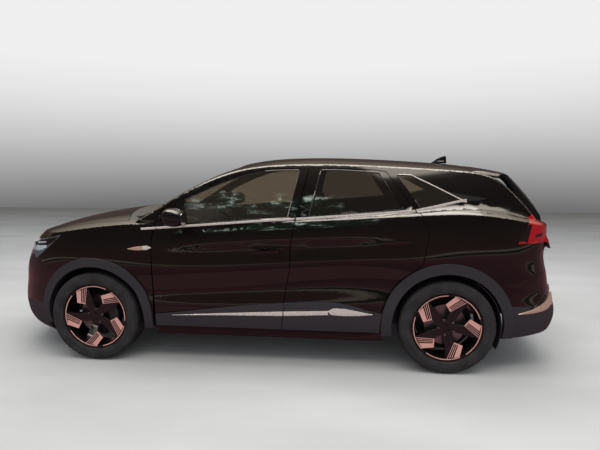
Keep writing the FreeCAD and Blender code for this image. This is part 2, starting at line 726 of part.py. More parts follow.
# Grille and lower intake: frames with level bars
def barred(half, z0, z1, bars):
    frame = lower_form(18).cut(lower_form(48)).common(box(-BIG, -1800, -half, half, z0, z1))
    pitch = (z1 - z0) / bars
    for i in range(bars):
        low = z0 + i * pitch + 12
        frame = frame.cut(box(-BIG, -1800, -half + 30, -8, low, low + pitch - 22))
        frame = frame.cut(box(-BIG, -1800, 8, half - 30, low, low + pitch - 22))
    return largest(frame)


upper_grille = barred(GRILLE_HALF - GLASS_GAP, 560 + GLASS_GAP, GRILLE_TOP - GLASS_GAP, 5)
lower_grille = barred(INTAKE_HALF - GLASS_GAP, 250 + GLASS_GAP, 400 - GLASS_GAP, 4)
save("grille", Part.makeCompound([upper_grille, lower_grille]))

# Lamps
headlamp = largest(lower_outer.cut(lamp_inner).common(headlamp_block).cut(hood_block(PANEL_GAP)))
save("headlamps", pair(headlamp))
tail_lamp = lower_outer.common(tail_lamp_block).fuse(upper_outer.common(tail_lamp_block))
tail_lamp = largest(tail_lamp.cut(lamp_inner).cut(gate_block(PANEL_GAP)))
save("tail_lamps", pair(tail_lamp))

# Bulkhead between engine bay and cabin, with the cowl above it and two arms under the hood
cowl = lower_outer.cut(lower_form(40)).common(box(-1300, COWL_REAR, -COWL_HALF, COWL_HALF, 900, 1300))
cowl = cowl.cut(hood_block(PANEL_GAP)).cut(glass_skin)
firewall = box(COWL_REAR - 25, COWL_REAR, -700, 700, 620, 1105)
under_hood = deck(HOOD_THICKNESS + SEAT_GAP).cut(deck(HOOD_THICKNESS + 60))
hood_arms = [under_hood.common(box(-1330, -1012, y - 20, y + 20, 800, 1300)) for y in (-600, 600)]
save("bulkhead", largest(cowl.fuse([firewall] + hood_arms)))

# Wheel houses: a curved liner over each wheel and an inner wall
def wheel_house(x, radius, inner_y, low):
    outer_y = -BODY_HALF + CLADDING_DEPTH / 2
    ring = drum(radius + LINER_WALL, outer_y, -inner_y, x, HUB_Z)
    ring = ring.cut(drum(radius, outer_y - 1, -inner_y - LINER_WALL, x, HUB_Z))
    return ring.common(box(x - 600, x + 600, -BIG, 0, low, BIG)).common(house_wall)


FRONT_HOUSE_Y = 452.0
REAR_HOUSE_Y = 592.0
front_house = wheel_house(FRONT_AXLE_X, FRONT_ARCH_INNER + 1, FRONT_HOUSE_Y, 330)
rear_house = wheel_house(REAR_AXLE_X, REAR_ARCH_INNER + 1, REAR_HOUSE_Y, 440)
save("wheel_houses", Part.makeCompound(pair(front_house).Solids + pair(rear_house).Solids))

# Floor: toe board, level floor, heel board and load floor, as one bent sheet
LOAD_FLOOR_Z = 600.0
REAR_SEAT_FLOOR = 400.0
FLOOR_TOP = FLOOR_BOTTOM + FLOOR_THICKNESS
LOAD_FLOOR_BOTTOM = LOAD_FLOOR_Z - FLOOR_THICKNESS
REAR_SEAT_UNDER = REAR_SEAT_FLOOR - FLOOR_THICKNESS
floor_line = [
    (-1005, 620), (-985, 620), (-880, FLOOR_TOP), (520, FLOOR_TOP), (560, REAR_SEAT_FLOOR),
    (1230, REAR_SEAT_FLOOR), (1250, LOAD_FLOOR_Z), (2120, LOAD_FLOOR_Z), (2120, LOAD_FLOOR_BOTTOM),
    (1275, LOAD_FLOOR_BOTTOM), (1255, REAR_SEAT_UNDER), (585, REAR_SEAT_UNDER), (545, FLOOR_BOTTOM),
    (-895, FLOOR_BOTTOM)]
floor_side = outline(*[[point] for point in floor_line])
floor_pan = across(floor_side, -HALF_CABIN, HALF_CABIN)
floor_pan = floor_pan.cut(box(REAR_AXLE_X - 480, BIG, -BIG, -REAR_HOUSE_Y + 0.3, 0, BIG))
floor_pan = floor_pan.cut(box(REAR_AXLE_X - 480, BIG, REAR_HOUSE_Y - 0.3, BIG, 0, BIG))
floor_pan = floor_pan.cut(box(-BIG, FRONT_AXLE_X + 440, -BIG, -FRONT_HOUSE_Y, 0, BIG))
floor_pan = floor_pan.cut(box(-BIG, FRONT_AXLE_X + 440, FRONT_HOUSE_Y, BIG, 0, BIG))
floor_pan = floor_pan.common(lower_form(DOOR_THICKNESS + PANEL_GAP))
save("floor_pan", floor_pan)

# Dashboard with the steering column
DASH_HALF = 690.0
WHEEL_TILT = math.radians(24)
STEER_CENTRE = Vector(-395, -370, 945)
column_axis = Vector(-math.cos(WHEEL_TILT), 0, -math.sin(WHEEL_TILT))
dash_side = outline(
    [(-1008, 1060), (-850, 1072), (-700, 1050), (-620, 1000)],
    [(-620, 1000), (-610, 930), (-680, 780), (-760, 700)], [(-1008, 640)])
dash = across(dash_side, -DASH_HALF, DASH_HALF)
console = across(outline(
    [(-760, 720)], [(-600, 640)], [(-60, 520)], [(150, 520)], [(150, FLOOR_TOP + SEAT_GAP)],
    [(-860, FLOOR_TOP + SEAT_GAP)]), -110, 110)
column_end = STEER_CENTRE + column_axis * 45
column = Part.makeCylinder(38, 300, column_end, column_axis)
dash = dash.fuse(console).fuse(column)
save("dashboard", dash)

rim = Part.makeTorus(183, 15, Vector(0, 0, 0), Vector(0, 0, 1))
hub = Part.makeCylinder(52, 42, Vector(0, 0, -45 + SEAT_GAP), Vector(0, 0, 1))
spokes = [box(20, 175, -16, 16, -22, -8), box(-175, -20, -16, 16, -22, -8), box(-18, 18, -175, -20, -22, -8)]
steering_wheel = rim.fuse(hub).fuse(spokes)
steering_wheel.rotate(Vector(0, 0, 0), Vector(0, 0, 1), 90)
steering_wheel.rotate(Vector(0, 0, 0), Vector(0, 1, 0), 90 - math.degrees(WHEEL_TILT))
steering_wheel.translate(STEER_CENTRE)
save("steering_wheel", steering_wheel)


# Seats
def seat(x, half, base_low, cushion_low, back_top, head_half):
    """One seat seen from the side and pushed across: cushion, back and head rest."""
    cushion = outline(
        [(x, cushion_low), (x - 12, cushion_low + 90), (x + 60, cushion_low + 140)],
        [(x + 60, cushion_low + 140), (x + 300, cushion_low + 120), (x + 510, cushion_low + 110)],
        [(x + 530, cushion_low)])
    body = across(cushion, -half, half)
    back = outline(
        [(x + 450, cushion_low + 60), (x + 520, cushion_low + 330), (x + 590, back_top)],
        [(x + 590, back_top), (x + 650, back_top + 10), (x + 690, back_top - 20)],
        [(x + 690, back_top - 20), (x + 640, cushion_low + 300), (x + 570, cushion_low)])
    body = body.fuse(across(back, -half, half))
    if base_low < cushion_low:
        body = body.fuse(box(x + 60, x + 500, -half + 50, half - 50, base_low, cushion_low + 20))
    for side in ([0] if half < 300 else [-half / 2, half / 2]):
        post = box(x + 630, x + 645, side - 60, side + 60, back_top - 60, back_top + 60)
        rest = outline(
            [(x + 600, back_top + 40), (x + 608, back_top + 120), (x + 640, back_top + 185)],
            [(x + 640, back_top + 185), (x + 690, back_top + 180), (x + 712, back_top + 130),
             (x + 700, back_top + 40)])
        body = body.fuse(post).fuse(across(rest, side - head_half, side + head_half))
    return body


front_seat = seat(-330, 255, FLOOR_TOP, 390, 1060, 125)
front_seat.translate(Vector(0, -372, 0))
save("front_seats", pair(front_seat))
rear_seat = seat(590, 575, REAR_SEAT_FLOOR + SEAT_GAP, REAR_SEAT_FLOOR + SEAT_GAP, 1010, 120)
save("rear_seat", rear_seat)

# Engine, radiator, tank and exhaust
SUBFRAME_TOP = 300.0
engine = box(-1760, -1110, -400, 400, SUBFRAME_TOP + SEAT_GAP, 900)
save("engine_block", engine)
save("radiator", box(-1985, -1945, -380, 380, SUBFRAME_TOP + SEAT_GAP, 800))

crossmember = box(-1560, -1100, -420, 420, 235, SUBFRAME_TOP)
rails = [box(-1990, -1560, s * 380 - 40, s * 380 + 40, 235, SUBFRAME_TOP) for s in (-1, 1)]
BALL_TOP = 200.0
BALL_GAP = 0.25
arms = []
for s in (-1, 1):
    arm = Part.makePolygon([
        Vector(-1450, s * 415, 240), Vector(-1160, s * 415, 240), Vector(FRONT_AXLE_X + 28, s * KINGPIN_Y, 240),
        Vector(FRONT_AXLE_X - 28, s * KINGPIN_Y, 240), Vector(-1450, s * 415, 240)])
    arms.append(Part.Face(arm).extrude(Vector(0, 0, 26)).common(box(-1500, -1100, -560, 560, 0, 500)))
    arms.append(rod(14, (FRONT_AXLE_X, s * 530, 252), (FRONT_AXLE_X, s * KINGPIN_Y, BALL_TOP - 26)))
    arms.append(Part.makeCylinder(26, 36, Vector(FRONT_AXLE_X, s * KINGPIN_Y, BALL_TOP - 36)))
LEG_Y = 300.0
LEG_BOTTOM = 165.0
legs = []
for s in (-1, 1):
    legs.append(box(-1160, -800, s * LEG_Y - 40, s * LEG_Y + 40, LEG_BOTTOM, FLOOR_BOTTOM - SEAT_GAP))
    legs.append(box(-1160, -1100, s * LEG_Y - 40, s * LEG_Y + 40, LEG_BOTTOM, SUBFRAME_TOP - 20))
subframe = crossmember.fuse(rails + arms + legs)
STRUT_LOW = 502.0
STRUT_Y = 600.0
STRUT_RADIUS = 24.0
strut_top = HUB_Z + math.sqrt((FRONT_ARCH_INNER + 1) ** 2 - STRUT_RADIUS ** 2) - SEAT_GAP
strut = Part.makeCylinder(STRUT_RADIUS, strut_top - STRUT_LOW, Vector(FRONT_AXLE_X, -STRUT_Y, STRUT_LOW))
save("front_subframe", Part.makeCompound(subframe.Solids + pair(strut).Solids))

beam = box(1095, 1185, -600, 600, 270, 350)
stub_parts = []
for s in (-1, 1):
    stub_parts.append(box(1110, REAR_AXLE_X + 45, s * 620 - 28, s * 620 + 28, 275, 395))
    ends = sorted((s * 600, s * (WHEEL_Y - 8 - SEAT_GAP)))
    stub_parts.append(drum(48, ends[0], ends[1], REAR_AXLE_X, HUB_Z))
    spring_top = LOAD_FLOOR_BOTTOM - SEAT_GAP
    stub_parts.append(Part.makeCylinder(26, spring_top - 314, Vector(REAR_AXLE_X + 10, s * 500, 314)))
    stub_parts.append(box(1120, REAR_AXLE_X + 36, s * 500 - 30, s * 500 + 30, 290, 330))
rear_axle = beam.fuse(stub_parts)
save("rear_axle", rear_axle)

save("fuel_tank", box(600, 1000, -480, 320, 225, REAR_SEAT_UNDER - SEAT_GAP))
PIPE_Y = 385.0
pipe = rod(28, (-1090, PIPE_Y, 174), (1010, PIPE_Y, 174)).fuse(rod(28, (990, PIPE_Y, 174), (1120, PIPE_Y, 225)))
pipe = pipe.fuse(rod(28, (1105, PIPE_Y, 225), (1600, PIPE_Y, 240)))
silencer = rounded(box(1580, 1930, -120, 460, 195, 355), 50, lambda e: e.Length > 300)
hanger_length = LOAD_FLOOR_BOTTOM - SEAT_GAP - 300
hangers = [Part.makeCylinder(7, hanger_length, Vector(1750, y, 300)) for y in (-60, 400)]
save("exhaust", pipe.fuse([silencer] + hangers))

# Roof antenna: a low fin
fin_side = outline(
    [(1305, 1500), (1443, 1500)], [(1443, 1500), (1440, 1578)],
    [(1440, 1578), (1400, 1572), (1350, 1535), (1305, 1500)])
fin = largest(across(fin_side, -16, 16).cut(upper_outer))
fin.translate(Vector(0, 0, SEAT_GAP))
save("roof_antenna", fin)


# Door mirrors: a rounded shell on a short foot
def mirror_piece():
    shell_side = outline(
        [(-700, 1090), (-712, 1140), (-680, 1190), (-600, 1196)],
        [(-600, 1196), (-562, 1180), (-556, 1100), (-572, 1078)],
        [(-572, 1078), (-640, 1068), (-700, 1090)])
    body = across(shell_side, -1075, -890)
    body = rounded(body, 22, lambda e: e.Length > 100)
    arm = rod(22, (-650, -905, 1100), (-650, -760, 1070))
    return body.fuse(arm)


door_mirror = mirror_piece().cut(left["front_left_door"]).cut(left["front_left_window"])
save("left_mirror", largest(door_mirror))
save("right_mirror", mirrored(largest(door_mirror)))


# Wheels, drawn about the origin with the outer face towards -Y
def tyre():
    half = TYRE_WIDTH / 2
    side = [
        (half - 22, RIM_RADIUS + GLASS_GAP), (half - 10, RIM_RADIUS + 6), (half - 1, RIM_RADIUS + 26),
        (half, RIM_RADIUS + 46), (half - 5, TYRE_RADIUS - 22), (half - 20, TYRE_RADIUS - 6),
        (half - 55, TYRE_RADIUS)]
    ring = [Vector(0, -y, r) for y, r in side] + [Vector(0, y, r) for y, r in reversed(side)]
    return Part.Face(Part.makePolygon(ring + ring[:1])).revolve(Vector(0, 0, 0), Vector(0, 1, 0), 360)


# Turns are seen from outside the left wheels. The rear wheels stand turned against the front ones
SPOKES = 5
SPOKE_TURN = 26.0
REAR_WHEEL_TURN = 24.0
LUG_TURN = -2.0
HUB_FACE = 92.0
SPOKE_DEPTH = 34.0
LUGS = 5
LUG_CIRCLE = 114.3
LUG_HOLE_RADIUS = 7.0


def rim_piece():
    half = TYRE_WIDTH / 2 - 24
    barrel = drum(RIM_RADIUS, -half, half, 0, 0).cut(drum(RIM_RADIUS - RIM_WALL, -half - 1, half + 1, 0, 0))
    face = drum(72, -HUB_FACE, -30, 0, 0)
    arms = []
    for i in range(SPOKES):
        arm = outline([(-34, 50)], [(-52, RIM_RADIUS - 6)], [(52, RIM_RADIUS - 6)], [(34, 50)])
        arm = across(arm, -HUB_FACE + 4, -HUB_FACE + 4 + SPOKE_DEPTH)
        arm.rotate(Vector(0, 0, 0), Vector(0, 1, 0), -SPOKE_TURN - i * 360 / SPOKES)
        arms.append(arm)
    wheel = barrel.fuse([face] + arms)
    for i in range(LUGS):
        angle = math.radians(-LUG_TURN - i * 360 / LUGS)
        hole_x = LUG_CIRCLE / 2 * math.sin(angle)
        hole_z = LUG_CIRCLE / 2 * math.cos(angle)
        wheel = wheel.cut(drum(LUG_HOLE_RADIUS, -BIG, BIG, hole_x, hole_z))
    return wheel


def disc_piece():
    hat = drum(75, -29.7, DISC_THICKNESS - 22, 0, 0)
    rotor = drum(DISC_RADIUS, -14, -14 + DISC_THICKNESS, 0, 0)
    return hat.fuse(rotor)


tyre_shape = tyre()
rim_shape = rim_piece()
disc_shape = disc_piece()
WHEELS = [("front_left", FRONT_AXLE_X, -1), ("front_right", FRONT_AXLE_X, 1),
          ("rear_left", REAR_AXLE_X, -1), ("rear_right", REAR_AXLE_X, 1)]
for name, x, side_sign in WHEELS:
    for piece, shape in (("tyre", tyre_shape), ("rim", rim_shape), ("brake_disc", disc_shape)):
        placed = shape.copy()
        if x == REAR_AXLE_X:
            placed.rotate(Vector(0, 0, 0), Vector(0, 1, 0), -REAR_WHEEL_TURN)
        placed.translate(Vector(x, -WHEEL_Y, HUB_Z))
        save(name + "_" + piece, placed if side_sign < 0 else mirrored(placed))


# Front knuckles: hub carrier on the kingpin, with the brake caliper
def knuckle():
    carrier = drum(46, -WHEEL_Y + 8.3, -WHEEL_Y + 95, FRONT_AXLE_X, HUB_Z)
    post = Part.makeCylinder(24, 290, Vector(FRONT_AXLE_X, -KINGPIN_Y + 2, BALL_TOP + BALL_GAP))
    ear = box(FRONT_AXLE_X - 26, FRONT_AXLE_X + 26, -KINGPIN_Y - 10, -STRUT_Y + 26, 462, STRUT_LOW - 5)
    caliper = drum(DISC_RADIUS + 14, -WHEEL_Y - 44, -WHEEL_Y + 38, FRONT_AXLE_X, HUB_Z)
    caliper = caliper.cut(drum(92, -BIG, BIG, FRONT_AXLE_X, HUB_Z)).common(
        box(FRONT_AXLE_X + 70, FRONT_AXLE_X + 200, -BIG, 0, HUB_Z - 75, HUB_Z + 75))
    caliper = caliper.cut(drum(DISC_RADIUS + 3, -WHEEL_Y - 17, -WHEEL_Y + 11, FRONT_AXLE_X, HUB_Z))
    arm = box(FRONT_AXLE_X, FRONT_AXLE_X + 110, -WHEEL_Y + 20, -WHEEL_Y + 38, HUB_Z - 40, HUB_Z + 40)
    return carrier.fuse([post, ear, caliper, arm])


left_knuckle = knuckle()
save("front_left_knuckle", left_knuckle)
save("front_right_knuckle", mirrored(left_knuckle))
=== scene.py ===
# %% [markdown]
# # A five-door crossover in gloss black
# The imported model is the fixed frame: every panel already has its place and its joint.
# This lesson adds what the photograph shows on top of it: paint, glass, rubber, bright
# trim, detailed wheels, lamps and the cabin. Lengths are in metres, +X runs to the rear,
# +Y to the car's right and +Z up.

# %% Load the frame
import bpy
import bmesh
import json
import math
import numpy as np
from mathutils import Matrix, Vector
from mathutils.bvhtree import BVHTree

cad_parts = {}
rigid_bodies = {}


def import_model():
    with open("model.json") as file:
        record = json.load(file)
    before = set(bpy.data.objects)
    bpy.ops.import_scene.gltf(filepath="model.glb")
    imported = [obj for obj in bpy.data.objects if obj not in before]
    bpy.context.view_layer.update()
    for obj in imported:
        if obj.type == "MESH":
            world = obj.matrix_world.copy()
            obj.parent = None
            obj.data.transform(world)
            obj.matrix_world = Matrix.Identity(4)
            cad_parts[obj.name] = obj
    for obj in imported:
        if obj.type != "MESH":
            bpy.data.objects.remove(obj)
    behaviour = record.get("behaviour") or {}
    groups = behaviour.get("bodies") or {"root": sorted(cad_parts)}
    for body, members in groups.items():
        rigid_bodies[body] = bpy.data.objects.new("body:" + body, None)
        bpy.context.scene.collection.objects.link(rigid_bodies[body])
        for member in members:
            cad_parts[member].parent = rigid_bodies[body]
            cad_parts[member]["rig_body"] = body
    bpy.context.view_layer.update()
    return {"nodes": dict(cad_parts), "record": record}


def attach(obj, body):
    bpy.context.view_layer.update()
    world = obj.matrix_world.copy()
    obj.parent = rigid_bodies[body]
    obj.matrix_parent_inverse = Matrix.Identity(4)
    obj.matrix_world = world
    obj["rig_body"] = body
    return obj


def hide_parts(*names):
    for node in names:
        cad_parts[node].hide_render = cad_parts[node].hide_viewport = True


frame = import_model()
nodes = frame["nodes"]
slot_of = {row["node"]: row["material_slot"] for row in frame["record"]["subparts"]}


def shown(name, data):
    made = bpy.data.objects.new(name, data)
    bpy.context.scene.collection.objects.link(made)
    return made


def riding(name, mesh, body, instead=None):
    """Put a mesh on a body and the CAD node that it stands for."""
    made = shown(name, mesh)
    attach(made, body)
    if instead:
        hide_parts(instead)
    return made


# %% [markdown]
# ## The camera
# The photograph was taken from beside the car's left rear door, at about the height of
# the eyes. The place and the turn of the camera were worked out from both wheels.

# %% Place the camera
CAMERA_PLACE = Vector((0.5405, -4.044, 1.497))
CAMERA_YAW = math.radians(-5.25)
CAMERA_PITCH = math.radians(-7.58)
CAMERA_ROLL = math.radians(0.06)

camera_data = bpy.data.cameras.new("camera")
camera_data.sensor_width = 36.0
camera_data.lens = 27.0
camera_data.clip_start = 0.05
camera_data.clip_end = 200.0
camera = shown("camera", camera_data)
ahead = Vector((
    math.sin(CAMERA_YAW) * math.cos(CAMERA_PITCH),
    math.cos(CAMERA_YAW) * math.cos(CAMERA_PITCH),
    math.sin(CAMERA_PITCH)))
right = Vector((math.cos(CAMERA_YAW), -math.sin(CAMERA_YAW), 0.0))
turn = Matrix((right, right.cross(ahead), -ahead)).transposed().to_4x4()
camera.matrix_world = Matrix.Translation(CAMERA_PLACE) @ turn @ Matrix.Rotation(CAMERA_ROLL, 4, "Z")
bpy.context.scene.camera = camera

# %% [markdown]
# ## Materials
# Each finish of the real car is one material, made of nodes so that nothing is read from
# disk. A number that is the same all over a surface sits on the shader's own socket.

# %% Helpers for shader nodes
def plug(tree, socket, source):
    """Feed a socket from another node's output, or set its value."""
    if isinstance(source, bpy.types.NodeSocket):
        tree.links.new(source, socket)
    else:
        socket.default_value = source


def made_node(tree, kind, **plugs):
    made = tree.nodes.new("ShaderNode" + kind)
    for name, source in plugs.items():
        plug(tree, made.inputs[name.replace("_", " ")], source)
    return made


def spread(tree, source, start, stop, low=0.0, high=1.0):
    """Map a number from one range to another. Past an end it stays at that end."""
    return made_node(tree, "MapRange", Value=source, From_Min=start, From_Max=stop,
                     To_Min=low, To_Max=high).outputs["Result"]


def colour_steps(tree, source, steps):
    """A colour for each place between 0 and 1: steps are (place, red, green, blue)."""
    made = made_node(tree, "ValToRGB", Fac=source)
    marks = made.color_ramp.elements
    while len(marks) < len(steps):
        marks.new(0.5)
    for mark, (place, *colour) in zip(marks, steps):
        mark.position = place
        mark.color = (*colour, 1.0)
    return made.outputs["Color"]


def worked(tree, operation, *sources):
    made = made_node(tree, "Math")
    made.operation = operation
    for socket, source in zip(made.inputs, sources):
        plug(tree, socket, source)
    return made.outputs["Value"]


def mixed(tree, share, first, second):
    """A colour that gives way to a second one as the share grows."""
    made = made_node(tree, "Mix")
    made.data_type = "RGBA"
    for socket, source in ((made.inputs["Factor"], share), (made.inputs[6], first), (made.inputs[7], second)):
        plug(tree, socket, source)
    return made.outputs[2]


def noise(made, scale, detail=3.0, stretch=(1.0, 1.0, 1.0)):
    """A noise pattern that sticks to the object's own place."""
    tree = made.node_tree
    place = made_node(tree, "TexCoord").outputs["Object"]
    stretched = made_node(tree, "Mapping", Vector=place, Scale=stretch).outputs["Vector"]
    return made_node(tree, "TexNoise", Vector=stretched, Scale=scale, Detail=detail).outputs["Fac"]


# %% A helper that starts a material and one that adds a pattern
FINISHES = {}


def finish(name, colour, roughness, metallic=0.0, **sockets):
    made = bpy.data.materials.new(name)
    made.use_nodes = True
    shader = made.node_tree.nodes["Principled BSDF"]
    sockets.update(Base_Color=(*colour, 1.0), Roughness=roughness, Metallic=metallic)
    for socket, value in sockets.items():
        shader.inputs[socket.replace("_", " ")].default_value = value
    FINISHES[name] = made
    return made


def grained(made, scale, detail=3.0, tint=None, rough=None, relief=None):
    """Let a noise pattern change the colour, the roughness or the relief of a material."""
    tree = made.node_tree
    sockets = tree.nodes["Principled BSDF"].inputs
    pattern = noise(made, scale, detail)
    if tint:
        low, high = tint
        plug(tree, sockets["Base Color"], colour_steps(tree, pattern, [(0.3, *low), (0.7, *high)]))
    if rough:
        plug(tree, sockets["Roughness"], spread(tree, pattern, 0.3, 0.7, *rough))
    if relief:
        strength, distance = relief
        raised = made_node(tree, "Bump", Height=pattern, Strength=strength, Distance=distance)
        plug(tree, sockets["Normal"], raised.outputs["Normal"])
    return made


# %% [markdown]
# ## Paint
# The paint is a deep black under clear lacquer, with fine flakes that warm it towards brown
# where light falls. A coat on the shader is the lacquer, and a fine noise tints the base.

# %% Body paint
paint = finish("body_paint", (0.003, 0.002, 0.002), 0.34, Specular_IOR_Level=0.1,
               Coat_Weight=1.0, Coat_Roughness=0.015, Coat_IOR=1.75)
grained(paint, 900.0, 2.0, tint=((0.002, 0.0015, 0.0015), (0.005, 0.003, 0.003)))
grained(paint, 2.0, 2.0, rough=(0.3, 0.38))

# %% [markdown]
# ## Plastics, rubber, cloth and metals
# Cladding is grained satin plastic, tyres are dull rubber with dust in the noise, and the
# bright strips are polished metal; the warm tint in their colour is a painted reflection.

# %% Plastics, rubber and cloth
cladding = finish("dark_cladding", (0.032, 0.03, 0.038), 0.55, Specular_IOR_Level=0.4)
grained(cladding, 700.0, 4.0, ((0.026, 0.024, 0.031), (0.04, 0.038, 0.047)), relief=(0.25, 0.0004))
gloss_black = finish("gloss_black_plastic", (0.006, 0.006, 0.007), 0.08, Coat_Weight=0.6, Coat_Roughness=0.03)
grained(gloss_black, 6.0, rough=(0.06, 0.12))
satin_black = grained(finish("satin_black", (0.02, 0.019, 0.02), 0.35), 60.0, rough=(0.3, 0.42))
rubber = finish("tyre_rubber", (0.022, 0.022, 0.024), 0.78, Specular_IOR_Level=0.35)
grained(rubber, 14.0, 6.0, ((0.018, 0.018, 0.02), (0.036, 0.035, 0.036)))
grained(rubber, 420.0, relief=(0.2, 0.0005))
seal_rubber = grained(finish("seal_rubber", (0.045, 0.045, 0.048), 0.5), 90.0, rough=(0.42, 0.6))
cabin_plastic = finish("cabin_plastic", (0.04, 0.04, 0.043), 0.6)
grained(cabin_plastic, 500.0, 4.0, ((0.034, 0.034, 0.036), (0.05, 0.05, 0.053)), relief=(0.3, 0.0004))
seat_cloth = finish("seat_fabric", (0.06, 0.06, 0.065), 0.9, Sheen_Weight=0.3, Sheen_Roughness=0.5)
grained(seat_cloth, 850.0, 4.0, ((0.03, 0.029, 0.031), (0.07, 0.068, 0.072)), relief=(0.35, 0.0006))

# %% Metals
# The warm tint of the bright trim's colour is a painted reflection of warm surroundings.
bright = grained(finish("bright_trim", (0.8, 0.74, 0.71), 0.26, 0.4), 30.0, rough=(0.22, 0.32))
satin_line = grained(finish("satin_line", (0.42, 0.38, 0.35), 0.35, 0.4), 60.0, rough=(0.3, 0.42))
bronze = grained(finish("bronze_trim", (0.62, 0.42, 0.34), 0.3, 0.4), 40.0, rough=(0.25, 0.36))
grained(finish("chassis_steel", (0.03, 0.03, 0.032), 0.5), 25.0, 5.0,
        ((0.022, 0.022, 0.024), (0.045, 0.044, 0.044)))
grained(finish("exhaust_steel", (0.38, 0.36, 0.34), 0.38, 1.0), 18.0, 5.0, ((0.26, 0.22, 0.19), (0.46, 0.45, 0.44)))
grained(finish("brake_iron", (0.4, 0.41, 0.43), 0.34, 1.0), 60.0, 4.0, rough=(0.26, 0.44))
grained(finish("engine_aluminium", (0.42, 0.42, 0.43), 0.5, 1.0), 160.0, 4.0,
        ((0.34, 0.34, 0.35), (0.5, 0.5, 0.51)), relief=(0.3, 0.0008))
rim_black = finish("rim_finish", (0.006, 0.005, 0.006), 0.22, Coat_Weight=0.6, Coat_Roughness=0.05)
grained(rim_black, 20.0, rough=(0.18, 0.28))
machined = grained(finish("machined_face", (0.8, 0.42, 0.37), 0.42, 0.2), 240.0, rough=(0.36, 0.5))
nut_steel = grained(finish("nut_steel", (0.3, 0.3, 0.31), 0.35, 1.0), 80.0, rough=(0.3, 0.45))

# %% [markdown]
# ## Glass
# Car glass is thin and tinted. A partly clear shader with a sharp gloss keeps what lies
# behind it visible without bending light through two faces.

# %% Panes, lenses and mirrors
def pane(name, tint, share):
    """Tinted glass: share is how much of the light from behind comes through."""
    made = finish(name, tint, 0.02, Alpha=1.0 - share, IOR=1.8)
    made.surface_render_method = "BLENDED"
    return made


pane("tinted_glass", (0.03, 0.025, 0.019), 0.55)
dark_glass = pane("privacy_glass", (0.016, 0.013, 0.011), 0.42)
pane("headlamp_lens", (0.1, 0.12, 0.15), 0.15)
finish("tail_lamp_lens", (0.35, 0.008, 0.014), 0.06, Coat_Weight=1.0, Coat_Roughness=0.02)
smoked = finish("smoked_lamp", (0.01, 0.006, 0.007), 0.08, Coat_Weight=1.0, Coat_Roughness=0.02)
grained(smoked, 8.0, rough=(0.06, 0.12))
crystal = finish("lamp_crystal", (0.62, 0.78, 0.92), 0.12, 0.3, Coat_Weight=1.0, Coat_Roughness=0.02)
grained(crystal, 140.0, 4.0, ((0.25, 0.36, 0.46), (0.85, 0.95, 1.0)))
mirror_glass = grained(finish("mirror_glass", (0.7, 0.73, 0.76), 0.03, 1.0), 3.0, rough=(0.02, 0.04))

# %% Give each CAD node its finish
DARK_PANES = ("rear_left_window", "rear_right_window", "rear_window")
for node in nodes:
    mesh = nodes[node].data
    mesh.materials.clear()
    mesh.materials.append(dark_glass if node in DARK_PANES else FINISHES[slot_of[node]])
print("dressed", len(nodes), "nodes")

# %% [markdown]
# ## Calm reflections in the paint
# A panel of flat triangles reflects in steps, and black lacquer shows each of them. The
# panels were cut from four smooth forms: the body's wall, its deck, the side glass and the
# roof. The same forms are sampled finely here, and each outer corner of a panel takes the
# direction that the smooth form has at that place.

# %% The four forms, in millimetres
NOSE, TAIL = -2206.5, 2206.5
BODY_HALF = 881.5
FRONT_PLAN = [(0, 0), (0, 230), (42, 455), (150, 650), (330, 800), (600, 858), (900, 876)]
REAR_PLAN = [(900, 884), (483, 866), (163, 812), (35, 610), (0, 330), (0, 0)]
MIDDLE_PLAN = [(1320, 877), (1850, 876), (2400, 878), (2950, 882)]
SECTION = [
    (150, 0.0, 110, 190, 330), (180, 0.0, 85, 60, 130), (250, 0.0, 48, 8, 45), (350, 0.0, 14, 0, 5),
    (460, 0.1, 6, 0, 0), (580, 0.2, 14, 22, 65), (680, 0.35, 3, 28, 75), (780, 0.5, 0, 55, 120),
    (880, 0.7, 2, 95, 100), (980, 0.9, 18, 150, 92), (1060, 1.0, 48, 230, 110), (1140, 1.0, 85, 330, 190),
    (1300, 0.0, 160, 480, 330)]
DOOR_ROWS = {
    460: (0, 0, 4), 580: (25, 85, 34), 680: (20, 65, 14), 780: (5, 40, 0), 880: (0, 0, 26), 980: (0, 0, 12)}
DECK = [
    (-2330, 560, 60), (-2240, 720, 60), (-2150, 850, 60), (-2050, 938, 60), (-1850, 1018, 55),
    (-1600, 1075, 45), (-1300, 1118, 45), (-950, 1150, 48), (-500, 1165, 60), (300, 1200, 55),
    (1000, 1250, 55), (1450, 1280, 60), (1750, 1232, 60), (2000, 1135, 50), (2120, 1070, 50),
    (2250, 960, 50), (2400, 800, 50)]
ROOF = [
    (-1500, 880, 60), (-1300, 985, 52), (-1080, 1110, 46), (-820, 1265, 45), (-540, 1420, 45),
    (-240, 1528, 46), (100, 1560, 48), (500, 1562, 50), (900, 1546, 50), (1300, 1520, 50),
    (1560, 1500, 50), (1700, 1450, 54), (1830, 1335, 62), (1960, 1195, 75), (2055, 1085, 100),
    (2095, 980, 150), (2120, 860, 200)]
GLASS_LEAN = [
    (900, 862), (1000, 846), (1100, 818), (1220, 771), (1340, 717), (1450, 660), (1540, 606), (1620, 550)]
GLASS_PINCH = [
    (-1500, 60), (-1200, 42), (-850, 22), (-300, 4), (300, 0), (900, 8), (1300, 30), (1700, 80),
    (2000, 135), (2300, 200)]


def ease(t):
    t = max(0.0, min(1.0, t))
    return t * t * (3 - 2 * t)


